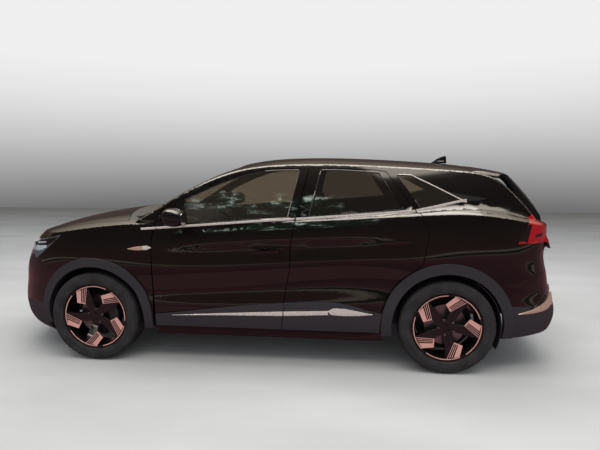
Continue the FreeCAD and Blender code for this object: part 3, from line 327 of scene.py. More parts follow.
def wall_net():
    outer = [(NOSE + d, y) for d, y in FRONT_PLAN + MIDDLE_PLAN] + [(TAIL - d, y) for d, y in REAR_PLAN]
    net = []
    for px, py in outer:
        front = ease((NOSE + 700 - px) / 600)
        rear = ease((px - TAIL + 800) / 700)
        over_doors = ease((px + 1300) / 900) * ease((1300 - px) / 600)
        column = []
        for height, follow, tuck, set_front, set_rear in SECTION:
            rise = follow * 0.07 * max(-1000, min(1300, px))
            shift, climb, door_tuck = DOOR_ROWS.get(height, (0, 0, tuck))
            rise += over_doors * (shift + climb * px / 900)
            tuck += over_doors * (door_tuck - tuck)
            x = px + set_front * front - set_rear * rear
            column.append((x, -max(py - tuck * py / BODY_HALF, 0), height + rise))
        net.append(column)
    return net


def crown_net(line, rows, reach, extra):
    across_car = [-r for r in reversed(rows)] + rows
    return [
        [(x, y, height - drop * (y / reach) ** 2 - max(0.0, abs(y) - 760) * extra) for y in across_car]
        for x, height, drop in line]


def basis(count, samples):
    """The weights of a clamped cubic spline's control points, one row for each sample."""
    spans = count - 3
    knots = [0.0] * 3 + [float(k) for k in range(spans + 1)] + [float(spans)] * 3
    at = np.linspace(0.0, spans - 1e-9, samples)
    weights = np.array([(at >= low) & (at < high) for low, high in zip(knots, knots[1:])], float)
    for degree in (1, 2, 3):
        raised = []
        for i in range(len(knots) - 1 - degree):
            part = np.zeros(samples)
            if knots[i + degree] > knots[i]:
                part += (at - knots[i]) / (knots[i + degree] - knots[i]) * weights[i]
            if knots[i + degree + 1] > knots[i + 1]:
                part += (knots[i + degree + 1] - at) / (knots[i + degree + 1] - knots[i + 1]) * weights[i + 1]
            raised.append(part)
        weights = np.array(raised)
    return weights.T


class Form:
    """A finely sampled smooth form that tells the direction of its surface near a point."""

    def __init__(self, net, across_samples, up_samples, outward):
        net = np.array(net, float) / 1000.0
        along_u = basis(net.shape[0], across_samples)
        along_v = basis(net.shape[1], up_samples)
        self.grid = grid = np.einsum("ui,ijk,vj->uvk", along_u, net, along_v)
        normal = np.cross(np.gradient(grid, axis=0), np.gradient(grid, axis=1))
        normal /= np.maximum(np.linalg.norm(normal, axis=2, keepdims=True), 1e-12)
        middle = normal[across_samples // 2, up_samples // 2]
        self.normal = normal * (1.0 if np.dot(middle, outward) > 0 else -1.0)
        self.rows = up_samples
        starts = [u * up_samples + v for u in range(across_samples - 1) for v in range(up_samples - 1)]
        self.tree = BVHTree.FromPolygons(
            [Vector(p) for p in grid.reshape(-1, 3)],
            [(a, a + up_samples, a + up_samples + 1, a + 1) for a in starts])

    def near(self, point, reach):
        """The form's place nearest to the point and its direction there, or nothing beyond reach."""
        found = self.tree.find_nearest(point, reach)
        if found[0] is None:
            return None
        u, v = divmod(found[2], self.rows - 1)
        offset = np.array(found[0]) - self.grid[u, v]
        shares = []
        for end in (self.grid[u + 1, v], self.grid[u, v + 1]):
            step = end - self.grid[u, v]
            shares.append(min(1.0, max(0.0, float(offset @ step / max(step @ step, 1e-12)))))
        a, b = shares
        n = self.normal
        blend = (1 - a) * ((1 - b) * n[u, v] + b * n[u, v + 1]) + a * ((1 - b) * n[u + 1, v] + b * n[u + 1, v + 1])
        return found[0], Vector(blend).normalized()


forms = [
    Form(wall_net(), 380, 110, (0, -1, 0)),
    Form(crown_net(DECK, [170, 500, 760, 900, 1100], 760.0, 0.5), 220, 110, (0, 0, 1)),
    Form(crown_net(ROOF, [110, 330, 600, 820, 1000], 600.0, 0.0), 220, 100, (0, 0, 1)),
    Form([[(x, -(y - pinch), z) for z, y in GLASS_LEAN] for x, pinch in GLASS_PINCH], 180, 80, (0, -1, 0))]
print("forms sampled")

# %% Panels with calm corners
LONGEST_EDGE = 0.045
PAINT_REACH, GLASS_REACH, SNAP_REACH = 0.0007, 0.0075, 0.004
SAME_WAY = 0.93
HIDDEN_X, HIDDEN_Y, HIDDEN_Z = 1.999, 0.58, (0.8, 0.955)
CREASE = math.radians(30)


def calm_place(point, reach):
    """The one form that a point lies on, with the car's right side folded onto the left."""
    folded = Vector((point.x, -abs(point.y), point.z))
    found = [hit for hit in (form.near(folded, reach) for form in forms) if hit is not None]
    if len(found) != 1:
        return None
    if point.y <= 0:
        return found[0]
    return tuple(Vector((v.x, -v.y, v.z)) for v in found[0])


def past_the_tail(place):
    """Where the tailgate's rest pads and the flange ends would show behind the rear corners."""
    return place.x > HIDDEN_X and abs(place.y) > HIDDEN_Y and HIDDEN_Z[0] < place.z < HIDDEN_Z[1]


def calm_panel(node, reach, snap):
    """A finer copy of a panel whose outer corners follow the smooth forms."""
    source = nodes[node]
    work = bmesh.new()
    work.from_mesh(source.data)
    bmesh.ops.remove_doubles(work, verts=work.verts, dist=1e-6)
    hidden_pad = [f for f in work.faces if node == "body_sides" and past_the_tail(f.calc_center_median())]
    bmesh.ops.delete(work, geom=hidden_pad, context="FACES")
    known = {v: calm_place(v.co, reach) for v in work.verts}
    for _ in range(4):
        long_edges = [
            e for e in work.edges
            if known[e.verts[0]] and known[e.verts[1]] and e.calc_length() > LONGEST_EDGE]
        if not long_edges:
            break
        bmesh.ops.subdivide_edges(work, edges=long_edges, cuts=1)
        bmesh.ops.triangulate(work, faces=[f for f in work.faces if len(f.verts) > 3])
        for v in work.verts:
            if v not in known:
                known[v] = calm_place(v.co, max(reach, SNAP_REACH))
                if known[v] and snap:
                    v.co = known[v][0]
    mesh = bpy.data.meshes.new(node + "_skin")
    work.verts.index_update()
    ways = [known[v][1] if known[v] else None for v in work.verts]
    work.to_mesh(mesh)
    work.free()
    mesh.materials.append(source.data.materials[0])
    mesh.shade_smooth()
    mesh.set_sharp_from_angle(angle=CREASE)
    corners = [Vector(c.vector) for c in mesh.corner_normals]
    for face in mesh.polygons:
        for loop in face.loop_indices:
            way = ways[mesh.loops[loop].vertex_index]
            if way is not None and way.dot(face.normal) > SAME_WAY:
                corners[loop] = way
    mesh.normals_split_custom_set(corners)
    return riding(node + "_skin", mesh, source["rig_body"], node)


PAINTED = [
    "body_sides", "roof", "front_fenders", "front_bumper", "rear_bumper", "hood", "tailgate", "front_left_door",
    "rear_left_door", "front_right_door", "rear_right_door"]
GLAZED = [
    "fixed_windows", "rear_window", "front_left_window", "rear_left_window", "front_right_window",
    "rear_right_window"]
for node in PAINTED:
    calm_panel(node, PAINT_REACH, True)
for node in GLAZED:
    calm_panel(node, GLASS_REACH, False)
print("calm panels:", len(PAINTED) + len(GLAZED))

# %% [markdown]
# ## Building pieces from plain numbers
# Most trim is a skin through rings of points: a flat outline given some depth, a profile
# turned about an axle, or a section that follows a line. One more helper names a piece,
# gives it a finish and lets it ride.

# %% Helpers that make pieces
def lofted(rings, closed=False):
    """A skin through rings of as many points each, capped at both ends or closed to a loop."""
    count, total = len(rings[0]), len(rings)
    points = [p for ring in rings for p in ring]
    faces = []
    for i in range(total if closed else total - 1):
        a, b = i * count, (i + 1) % total * count
        faces += [(a + k, a + (k + 1) % count, b + (k + 1) % count, b + k) for k in range(count)]
    if not closed:
        faces += [tuple(range(count)), tuple(range(total * count - 1, total * count - count - 1, -1))]
    return points, faces


def turned(profile, steps, radius_at=None):
    """Turn a closed profile of (y, radius) about the Y axis."""
    rings = []
    for i in range(steps):
        angle = 2 * math.pi * i / steps
        reach = [radius_at(i, k, y, r) if radius_at else r for k, (y, r) in enumerate(profile)]
        rings.append([(r * math.cos(angle), y, r * math.sin(angle)) for r, (y, _) in zip(reach, profile)])
    return lofted(rings, closed=True)


def slab(corners, front, back):
    """A plate in the XZ plane, flat faces first. front and back are its Y, or give Y for a corner."""
    points, faces = lofted([[(x, y(x, z) if callable(y) else y, z) for x, z in corners] for y in (front, back)])
    return points, faces[-2:] + faces[:-2]


def polar(radius, degrees):
    angle = math.radians(degrees)
    return (radius * math.cos(angle), radius * math.sin(angle))


def arc(start, stop, inner, outer, front, back, steps):
    """A bar of square section along a part of a circle about the Y axis."""
    rings = []
    for i in range(steps + 1):
        angle = start + (stop - start) * i / steps
        (ix, iz), (ox, oz) = polar(inner, angle), polar(outer, angle)
        rings.append([(ix, front, iz), (ox, front, oz), (ox, back, oz), (ix, back, iz)])
    return lofted(rings)


def moved(part, dx, dz):
    points, faces = part
    return [(x + dx, y, z + dz) for x, y, z in points], faces


def piece(name, parts, body, material, smooth=40.0, instead=None):
    """One named piece out of lists of points and faces."""
    points, faces = [], []
    for part_points, part_faces in parts:
        start = len(points)
        points += part_points
        faces += [tuple(start + i for i in face) for face in part_faces]
    mesh = bpy.data.meshes.new(name)
    mesh.from_pydata([tuple(p) for p in points], [], faces)
    work = bmesh.new()
    work.from_mesh(mesh)
    bmesh.ops.remove_doubles(work, verts=work.verts, dist=1e-6)
    bmesh.ops.recalc_face_normals(work, faces=work.faces)
    work.to_mesh(mesh)
    work.free()
    mesh.materials.append(material)
    mesh.shade_smooth()
    mesh.set_sharp_from_angle(angle=math.radians(smooth))
    return riding(name, mesh, body, instead)


def both_sides(name, parts, body, material, smooth=40.0, instead=None):
    """The same piece on the left and, mirrored, on the right. SIDE stands for left or right."""
    for side, way in (("left", 1), ("right", -1)):
        facing = [([(x, way * y, z) for x, y, z in points], faces) for points, faces in parts]
        stands_for = instead and instead.replace("SIDE", side)
        piece(name.replace("SIDE", side), facing, body.replace("SIDE", side), material, smooth, stands_for)


# %% [markdown]
# ## Tyres
# A road tyre has a smooth sidewall with a fine rib near the bead, ribbed shoulders, and a
# tread of four straight grooves crossed by short cuts. The section is turned about the
# axle, and the cuts are steps of the turn whose blocks sit a little lower.

# %% Tyre
TYRE_RADIUS = 0.3425
BEAD_RADIUS = 0.2535
GROOVE_DEPTH = 0.0065
GROOVES = (0.066, 0.024, -0.024, -0.066)
TREAD_STEPS = 288
CUT_EVERY = 6
SHOULDER_CUT, TREAD_CUT = 0.0032, 0.0025
TREAD_HALF, BLOCK_TOP = 0.062, TYRE_RADIUS - 0.001
SHOULDER_POINTS = range(11, 17)
FROM_BEAD = [
    (0.09, 0.0), (0.101, 0.003), (0.1062, 0.009), (0.109, 0.016), (0.1106, 0.024), (0.1112, 0.027),
    (0.1122, 0.029), (0.1124, 0.036), (0.112, 0.05), (0.1108, 0.062), (0.109, 0.071)]
FROM_TREAD = [
    (0.106, 0.0185), (0.104, 0.015), (0.1015, 0.0115), (0.096, 0.0062), (0.09, 0.003), (0.08, 0.0012)]
GROOVE = [(0.0048, 0.0003), (0.0036, GROOVE_DEPTH), (-0.0036, GROOVE_DEPTH), (-0.0048, 0.0003)]

side_profile = [(y, BEAD_RADIUS + r) for y, r in FROM_BEAD] + [(y, TYRE_RADIUS - r) for y, r in FROM_TREAD]
tread_profile = [(centre + y, TYRE_RADIUS - r) for centre in GROOVES for y, r in GROOVE]
tyre_profile = side_profile + tread_profile + [(-y, r) for y, r in reversed(side_profile)]


def tread_cut(step, index, y, r):
    """Lower the blocks where a cut crosses them."""
    mirrored_index = min(index, len(tyre_profile) - 1 - index)
    if step % CUT_EVERY == 0 and mirrored_index in SHOULDER_POINTS:
        return r - SHOULDER_CUT
    if (step + 3) % CUT_EVERY == 0 and abs(y) < TREAD_HALF and r > BLOCK_TOP:
        return r - TREAD_CUT
    return r


tyre_part = turned(tyre_profile, TREAD_STEPS, tread_cut)

# %% [markdown]
# ## Wheels
# Each wheel has five black spokes. The outer half of every spoke carries a machined face:
# one wide strip and three thin ribs beside dark slots, and a bright arc runs on along the
# rim towards the next spoke. Between the spokes lie the five nuts.

# %% Rim, spokes and machined faces
RIM_LIP = 0.2515
HUB_Y = -0.079
FACE_Y = -0.0895
SPOKE_ANGLE = 116.0
NUT_ANGLE = 88.0
NUT_CIRCLE = 0.05715
FIFTH = 72.0
BARREL = [
    (-0.0885, RIM_LIP), (-0.0885, 0.233), (-0.08, 0.229), (-0.05, 0.225), (0.03, 0.22),
    (0.07, 0.226), (0.0885, 0.233), (0.0885, RIM_LIP), (0.08, 0.2385), (0.02, 0.23),
    (-0.04, 0.23), (-0.08, 0.2385)]
HUB = [
    (0.001, 0.027), (-0.0005, 0.029), (-0.0005, 0.056), (0.003, 0.062), (0.045, 0.066), (0.045, 0.027)]
CAP = [(0.012, 0.0001), (-0.0022, 0.0001), (-0.0018, 0.018), (0.0004, 0.0262), (0.012, 0.0268)]
NUT = [(0.006, 0.0001), (-0.007, 0.0001), (-0.0066, 0.007), (-0.0045, 0.0098), (0.006, 0.01)]
SPOKE_ROOT = [(0.05, 34), (0.05, -34), (0.112, -19), (0.12, 13)]
SPOKE_END = [(0.12, 13), (0.112, -19), (0.232, -15), (0.232, 11)]
FLAG = [(0.233, 10.5), (0.231, -12.5), (0.12, 12.5), (0.173, 27.5)]
FLAG_STRIPS = ((0.0, 0.46), (0.585, 0.635), (0.76, 0.81), (0.935, 0.985))
FLAG_END = 0.985
FLAG_FOOT = 0.07
SPOKE_DEPTH, FLAG_DEPTH, BRIGHT_DEPTH = (0.0015, 0.034), (0.0004, 0.014), (-0.0012, 0.0006)
ARC_TURN, ARC_RADII, ARC_DEPTH = (10.5, -50.0), (0.2335, 0.2398), (-0.0902, -0.0878)


def at_hub(profile, steps):
    return turned([(HUB_Y + y, r) for y, r in profile], steps)


def face_slab(corners, front, back):
    """A plate that follows the wheel's face, which sinks a little towards the hub."""
    def face(x, z):
        return HUB_Y + (FACE_Y - HUB_Y) * min(1.0, math.hypot(x, z) / 0.235) ** 1.5
    return slab([tuple(c) for c in corners], lambda x, z: face(x, z) + front, lambda x, z: face(x, z) + back)


dark_parts = [turned(BARREL, 96), at_hub(HUB, 64)]
bright_parts = []
for k in range(5):
    turn_by = SPOKE_ANGLE + FIFTH * k
    for outline in (SPOKE_ROOT, SPOKE_END):
        dark_parts.append(face_slab([polar(r, turn_by + a) for r, a in outline], *SPOKE_DEPTH))
    outer_a, outer_b, inner_b, inner_a = [Vector(polar(r, turn_by + a)) for r, a in FLAG]
    dark_parts.append(face_slab((outer_a, outer_b, inner_b, inner_a), *FLAG_DEPTH))
    for low, high in FLAG_STRIPS:
        corners = (outer_a.lerp(outer_b, low), outer_a.lerp(outer_b, high),
                   inner_a.lerp(inner_b, high), inner_a.lerp(inner_b, low))
        bright_parts.append(face_slab(corners, *BRIGHT_DEPTH))
    foot = (inner_a, inner_a.lerp(inner_b, FLAG_END))
    corners = foot + (foot[1].lerp(outer_a.lerp(outer_b, FLAG_END), FLAG_FOOT), foot[0].lerp(outer_a, FLAG_FOOT))
    bright_parts.append(face_slab(corners, *BRIGHT_DEPTH))
    bright_parts.append(arc(turn_by + ARC_TURN[0], turn_by + ARC_TURN[1], *ARC_RADII, *ARC_DEPTH, 40))
nut_parts = [moved(at_hub(NUT, 6), *polar(NUT_CIRCLE, NUT_ANGLE + FIFTH * k)) for k in range(5)]

# %% Put the four wheels together
WHEEL_PLACES = {
    "front_left": (-1.3315, -1), "front_right": (-1.3315, 1),
    "rear_left": (1.3065, -1), "rear_right": (1.3065, 1)}
WHEEL_Y = 0.7775
REAR_WHEEL_TURN = 24.0
EDGE_WIDTH = 0.0012


def placed(parts, x, side):
    """Move wheel parts to a hub. The rear wheels stand turned, and the right side mirrors the left."""
    angle = math.radians(REAR_WHEEL_TURN) if x > 0 else 0.0
    c, s = math.cos(angle), math.sin(angle)
    return [([
        (c * px - s * pz + x, side * -1 * py + side * WHEEL_Y, s * px + c * pz + TYRE_RADIUS)
        for px, py, pz in points], faces) for points, faces in parts]


for corner, (x, side) in WHEEL_PLACES.items():
    for name, parts, material, slot, smooth, instead in (
            ("_tyre_tread", [tyre_part], rubber, "tyre_rubber", 40.0, corner + "_tyre"),
            ("_rim_spokes", dark_parts, rim_black, "rim_finish", 30.0, corner + "_rim"),
            ("_rim_faces", bright_parts, machined, "rim_finish", 30.0, None),
            ("_hub_cap", [at_hub(CAP, 48)], rim_black, "rim_finish", 40.0, None),
            ("_nuts", nut_parts, nut_steel, "rim_finish", 30.0, None)):
        made = piece(corner + name, placed(parts, x, side), corner + "_wheel", material, smooth, instead)
        if name == "_rim_spokes":
            edges = made.modifiers.new("edges", "BEVEL")
            edges.width = EDGE_WIDTH
            edges.segments = 2
            edges.limit_method = "ANGLE"
print("wheels made:", len(WHEEL_PLACES))

# %% [markdown]
# ## Brake dust shields
# Behind each brake disc a thin dark plate closes the view through the wheel; it is a real
# part, and its dark face also stands in as painted shade for the space under the car. The
# front ones are smaller, so that they clear the arms when the wheels steer.

# %% Dust shields
SHIELD_IN = 0.058
SHIELD_HOLE = 0.06
# Painted shade: the dark plates hide the lit floor that would otherwise show through the wheels.
for corner, (x, side) in WHEEL_PLACES.items():
    front = x < 0
    edge = 0.15 if front else 0.203
    profile = [
        (SHIELD_IN, SHIELD_HOLE), (SHIELD_IN, edge - 0.007), (SHIELD_IN - 0.01, edge - 0.003),
        (SHIELD_IN - 0.01, edge), (SHIELD_IN + 0.002, edge), (SHIELD_IN + 0.002, SHIELD_HOLE)]
    piece(corner + "_dust_shield", placed([turned(profile, 72)], x, side),
          corner + "_knuckle" if front else "body", satin_black)

# %% [markdown]
# ## Finding the car's skin
# Trim has to lie on the panels. A ray sent in from the side finds how far out the skin is
# at any place of the side view, and the panels' own meshes answer it. A ribbon follows one
# line of the side view. A patch fills the strip between two lines.

# %% Rays onto the panels
RAY_START = -1.6
SMOOTHING_PASSES = 6


def skin_of(*names):
    """One search tree over several CAD nodes."""
    points, faces = [], []
    for name in names:
        mesh = nodes[name].data
        start = len(points)
        points += [v.co.copy() for v in mesh.vertices]
        faces += [tuple(start + i for i in p.vertices) for p in mesh.polygons]
    return BVHTree.FromPolygons(points, faces)


def side_y(skin, x, z):
    """How far out the skin lies at one place of the side view, or nothing where a ray misses."""
    hit = skin.ray_cast(Vector((x, RAY_START, z)), Vector((0.0, 1.0, 0.0)))[0]
    return None if hit is None else hit.y


def along(points, step):
    """Points every step or so along a line of corner points."""
    line = [Vector(p) for p in points]
    result = []
    for a, b in zip(line, line[1:]):
        count = max(1, round((b - a).length / step))
        result += [a.lerp(b, i / count) for i in range(count)]
    return result + [line[-1]]


def calmed(values, reach):
    """A moving average, so that trim doesn't copy small steps of the skin."""
    count = len(values)
    result = []
    for i in range(count):
        span = min(reach, i, count - 1 - i)
        group = values[i - span:i + span + 1]
        result.append(sum(group) / len(group))
    return result


def ribbon(path, low, high, proud, skin, sunk=0.003, reach=4, step=0.012):
    """A strip along a path. low and high are its edges beside the path, at the start and the end."""
    places = along(path, step)
    depth = []
    for p in places:
        y = side_y(skin, *p)
        depth.append(depth[-1] if y is None else y)
    total = len(places) - 1
    rings = []
    for i, (p, y) in enumerate(zip(places, calmed(depth, reach))):
        ahead = places[min(i + 1, total)] - places[max(i - 1, 0)]
        normal = Vector((-ahead[1], ahead[0])).normalized()
        a, b = (p + normal * (start + (stop - start) * i / total) for start, stop in (low, high))
        middle = (a + b) / 2
        section = (
            (a, -sunk), (a, proud * 0.7), (a.lerp(middle, 0.3), proud),
            (b.lerp(middle, 0.3), proud), (b, proud * 0.7), (b, -sunk))
        rings.append([(q[0], y - out, q[1]) for q, out in section])
    return lofted(rings)


def spread_along(points, count):
    """Places at even steps of length along a line of corner points."""
    line = [Vector(p) for p in points]
    lengths = [0.0]
    for a, b in zip(line, line[1:]):
        lengths.append(lengths[-1] + (b - a).length)
    result = []
    for i in range(count + 1):
        want = lengths[-1] * i / count
        k = max(j for j in range(len(line) - 1) if lengths[j] <= want + 1e-9)
        share = (want - lengths[k]) / max(lengths[k + 1] - lengths[k], 1e-9)
        result.append(line[k].lerp(line[k + 1], min(1.0, share)))
    return result


def patch(low, high, proud, skin, across=4, count=24, sunk=0.002, crown=0.0):
    """A thin plate on the skin between two lines of (x, z). crown lifts its middle."""
    shares = [j / across for j in range(across + 1)]
    ends = zip(spread_along(low, count), spread_along(high, count))
    rows = [[a.lerp(b, share) for share in shares] for a, b in ends]
    grid = np.array([[side_y(skin, *q) for q in row] for row in rows], float)
    grid = np.where(np.isnan(grid), np.nanmean(grid), grid)
    for _ in range(SMOOTHING_PASSES):
        rim = np.pad(grid, 1, mode="edge")
        grid = (rim[:-2, 1:-1] + rim[2:, 1:-1] + rim[1:-1, :-2] + rim[1:-1, 2:] + 2 * grid) / 6
    rings = []
    for row, depths in zip(rows, grid.tolist()):
        lifts = [proud + crown * math.sin(math.pi * share) for share in shares]
        outer = [(q[0], y - lift, q[1]) for q, y, lift in zip(row, depths, lifts)]
        inner = [(q[0], y + sunk, q[1]) for q, y in zip(row, depths)]
        rings.append(outer + inner[::-1])
    return lofted(rings)


left_skin = skin_of(
    "body_sides", "front_fenders", "front_left_door", "rear_left_door", "front_left_window",
    "rear_left_window", "fixed_windows", "front_left_sill_trim", "rear_left_sill_trim", "lower_cladding")

# %% [markdown]
# ## The bright belt strip
# One bright strip runs below the side windows and grows towards the rear. The doors cut it,
# so it is made in four lengths, each riding with the panel that carries it.

# %% Belt strip
BELT = [
    (-0.955, 1.021), (-0.753, 1.036), (-0.351, 1.068), (-0.01, 1.095), (0.216, 1.108), (0.585, 1.133),
    (1.066, 1.169), (1.183, 1.193), (1.399, 1.239), (1.5, 1.253)]
BELT_HALF = 0.008
BELT_GROWTH = 0.0038
BELT_SPANS = {
    "SIDE_belt_front": (-0.955, -0.843, "body"),
    "SIDE_belt_front_door": (-0.835, 0.2095, "front_SIDE_door"),
    "SIDE_belt_rear_door": (0.2155, 1.07, "rear_SIDE_door"),
    "SIDE_belt_quarter": (1.078, 1.44, "body")}


def between(path, start, stop):
    """The stretch of a line between two X places."""
    result = {p for p in path if start <= p[0] <= stop}
    for a, b in zip(path, path[1:]):
        for x in (start, stop):
            if a[0] < x < b[0]:
                share = (x - a[0]) / (b[0] - a[0])
                result.add((x, a[1] + share * (b[1] - a[1])))
    return sorted(result)


for name, (start, stop, body) in BELT_SPANS.items():
    a, b = (BELT_HALF + BELT_GROWTH * ease((x + 0.2) / 1.5) for x in (start, stop))
    strip = ribbon(between(BELT, start, stop), (-a, -b), (a, b), 0.005, left_skin, reach=7)
    both_sides(name, [strip], body, bright)

# %% [markdown]
# ## The bright sill strip
# On the doors' cladding a bright strip widens towards the rear door and ends in an
# arrowhead ahead of the rear wheel.

# %% Sill strip and arrowhead
for name, path, start, stop, body in (
        ("SIDE_sill_strip_front", [(-0.716, 0.38), (-0.35, 0.398), (0.122, 0.4175)],
         0.001, 0.0165, "front_SIDE_door"),
        ("SIDE_sill_strip_rear", [(0.13, 0.4178), (0.3, 0.426), (0.455, 0.434)],
         0.0165, 0.015, "rear_SIDE_door")):
    strip = ribbon(path, (-start, -stop), (start, stop), 0.005, left_skin, reach=9)
    both_sides(name, [strip], body, bright)
arrow = patch(
    [(0.478, 0.42), (0.56, 0.416), (0.68, 0.42), (0.772, 0.43)],
    [(0.452, 0.447), (0.492, 0.47), (0.58, 0.468), (0.772, 0.434)], 0.0035, left_skin, 4, 30, crown=0.002)
both_sides("SIDE_sill_arrow", [arrow], "rear_SIDE_door", bright)

# %% [markdown]
# ## Side window trim
# A thin rubber lip closes each side window against its frame. Thin satin lines close the
# doors' window frames. The quarter window ends in a satin triangle under a bright line.

# %% Window seals and frame lines
SEALS = {
    "SIDE_front_window_seal": ("front_SIDE_door", [
        (-0.64, 1.232), (-0.579, 1.264), (-0.389, 1.351), (-0.21, 1.414), (-0.034, 1.447), (0.08, 1.454),
        (0.226, 1.457), (0.188, 1.29), (0.15, 1.119)]),
    "SIDE_rear_window_seal": ("rear_SIDE_door", [
        (0.305, 1.128), (0.345, 1.29), (0.388, 1.458), (0.5, 1.458), (0.667, 1.45), (0.815, 1.44),
        (0.985, 1.186)]),
    "SIDE_quarter_window_seal": ("body", [
        (1.105, 1.197), (0.948, 1.424), (1.045, 1.424), (1.24, 1.33), (1.42, 1.236)])}
FRAME_LINES = {
    "SIDE_front_frame_line": ("front_SIDE_door", [(-0.034, 1.4535), (0.08, 1.4605), (0.2195, 1.463)]),
    "SIDE_front_post_line": ("front_SIDE_door", [(0.2235, 1.455), (0.188, 1.29), (0.152, 1.125)]),
    "SIDE_rear_post_line": ("rear_SIDE_door", [(0.307, 1.133), (0.345, 1.29), (0.386, 1.455)]),
    "SIDE_rear_frame_line": ("rear_SIDE_door", [
        (0.392, 1.464), (0.5, 1.464), (0.667, 1.456), (0.815, 1.446)])}
for name, (body, edge) in SEALS.items():
    strip = ribbon(edge, (-0.003, -0.003), (0.003, 0.003), 0.0015, left_skin, 0.004, 2, 0.01)
    both_sides(name, [strip], body, seal_rubber)
quarter_line = ribbon(
    [(0.955, 1.4275), (1.045, 1.427), (1.24, 1.333), (1.437, 1.233)],
    (-0.003, -0.003), (0.004, 0.004), 0.003, left_skin)
both_sides("SIDE_quarter_line", [quarter_line], "body", bright)
quarter_triangle = patch(
    [(1.3, 1.2985), (1.438, 1.229), (1.58, 1.2545)], [(1.302, 1.306), (1.44, 1.283), (1.582, 1.259)],
    0.002, left_skin)
both_sides("SIDE_quarter_triangle", [quarter_triangle], "body", satin_black)
for name, (body, path) in FRAME_LINES.items():
    strip = ribbon(path, (-0.0018, -0.0018), (0.0018, 0.0018), 0.0022, left_skin)
    both_sides(name, [strip], body, satin_line)
print("side trim made")

# %% [markdown]
# ## Plates on the skin
# Behind the front wheel a leaf-shaped plate ends in a pale arrowhead. Each headlamp is dark
# inside with a bright cluster near the nose, and the tail lamp's front part is smoked. On
# the rear bumper a dark strip parts the paint from the cladding over a bronze blade.

# %% Plates: outline below, outline above, how proud, then the grid, the depth and the crown
lamp_skin = skin_of(
    "headlamps", "tail_lamps", "front_fenders", "front_bumper", "body_sides", "rear_bumper", "tailgate")
bumper_skin = skin_of("rear_bumper", "lower_cladding", "body_sides", "tailgate")
PLATES = {
    "SIDE_fender_blade": (left_skin, bronze, "body_paint", [(-1.046, 0.873), (-0.985, 0.866), (-0.925, 0.868)],
                          [(-1.046, 0.877), (-0.985, 0.893), (-0.925, 0.898)], 0.003, 4, 24, 0.002, 0.002),
    "SIDE_fender_blade_tip": (left_skin, bright, "body_paint", [(-0.922, 0.868), (-0.895, 0.871), (-0.868, 0.884)],
                              [(-0.936, 0.898), (-0.895, 0.902), (-0.868, 0.888)], 0.004, 4, 24, 0.002, 0.002),
    "SIDE_headlamp_bezel": (
        lamp_skin, smoked, "headlamp_lens", [(-1.88, 0.83), (-1.76, 0.833), (-1.688, 0.893), (-1.61, 0.95)],
        [(-1.884, 0.89), (-1.82, 0.908), (-1.7, 0.936), (-1.6, 0.954)], 0.0014, 6, 40),
    "SIDE_tail_lamp_mark": (lamp_skin, smoked, "tail_lamp_lens", [(1.886, 0.992), (1.95, 1.004)],
                            [(1.898, 1.012), (1.96, 1.026)], 0.0018, 4, 8),
    "SIDE_tail_lamp_smoked": (lamp_skin, smoked, "tail_lamp_lens", [(1.764, 0.956), (1.8, 0.956), (1.832, 0.9565)],
                              [(1.83, 1.086), (1.85, 1.088), (1.87, 1.086)], 0.0022, 6, 10),
    "SIDE_corner_intake": (
        lamp_skin, satin_black, "dark_cladding", [(-1.96, 0.715), (-1.925, 0.665), (-1.87, 0.668), (-1.845, 0.7)],
        [(-1.96, 0.745), (-1.93, 0.79), (-1.88, 0.8), (-1.845, 0.77)], 0.0015, 6, 20),
    "SIDE_bumper_strip": (
        bumper_skin, gloss_black, "dark_cladding", [(1.88, 0.484), (1.99, 0.53), (2.09, 0.582)],
        [(1.88, 0.488), (1.975, 0.556), (2.085, 0.625)], 0.0045, 4, 30),
    "SIDE_bumper_blade": (
        bumper_skin, bronze, "dark_cladding", [(1.8, 0.448), (1.9, 0.455), (1.985, 0.465), (2.09, 0.49)],
        [(1.8, 0.454), (1.9, 0.482), (2.0, 0.522), (2.094, 0.575)], 0.0065, 4, 30, 0.002, 0.004)}
for name, (skin, material, slot, low, high, proud, *grid) in PLATES.items():
    both_sides(name, [patch(low, high, proud, skin, *grid)], "body", material)

CELLS = (
    (-1.912, 0.842, 0.034, 0.036), (-1.872, 0.846, 0.034, 0.04), (-1.832, 0.85, 0.034, 0.04),
    (-1.792, 0.856, 0.03, 0.034), (-1.756, 0.866, 0.024, 0.024), (-1.905, 0.88, 0.05, 0.018),
    (-1.848, 0.89, 0.05, 0.014), (-1.79, 0.898, 0.046, 0.01))
CELL_LEAN, CELL_RISE = 0.006, 0.004
cells = [
    patch([(x, z - tall / 2), (x + wide, z - tall / 2 + CELL_RISE)],
          [(x + CELL_LEAN, z + tall / 2), (x + wide + CELL_LEAN, z + tall / 2 + CELL_RISE)],
          0.003, lamp_skin, 4, 6, 0.001, 0.003)
    for x, z, wide, tall in CELLS]
both_sides("SIDE_lamp_crystals", cells, "body", crystal)

# %% [markdown]
# ## Roof antenna
# The fin is thin and leans to the rear, with a bright mark low on each side.

# %% Roof antenna
FIN_LEVELS = [
    (1.512, 1.312, 1.443, 0.016), (1.52, 1.318, 1.4425, 0.015), (1.53, 1.33, 1.442, 0.0132),
    (1.54, 1.342, 1.4415, 0.0115), (1.55, 1.356, 1.441, 0.0098), (1.56, 1.371, 1.44, 0.0082),
    (1.568, 1.386, 1.439, 0.0068), (1.574, 1.402, 1.437, 0.005), (1.5775, 1.418, 1.433, 0.0025)]
FIN_SHAPE = [(0.0, 0.0), (0.1, 0.45), (0.3, 0.8), (0.55, 1.0), (0.8, 0.92), (0.96, 0.65), (1.0, 0.3)]
fin_outline = [(share, -wide) for share, wide in FIN_SHAPE] + FIN_SHAPE[:0:-1]
fin = lofted([
    [(start + (stop - start) * share, half * wide, z) for share, wide in fin_outline]
    for z, start, stop, half in FIN_LEVELS])
piece("roof_fin", [fin], "body", gloss_black, instead="roof_antenna")
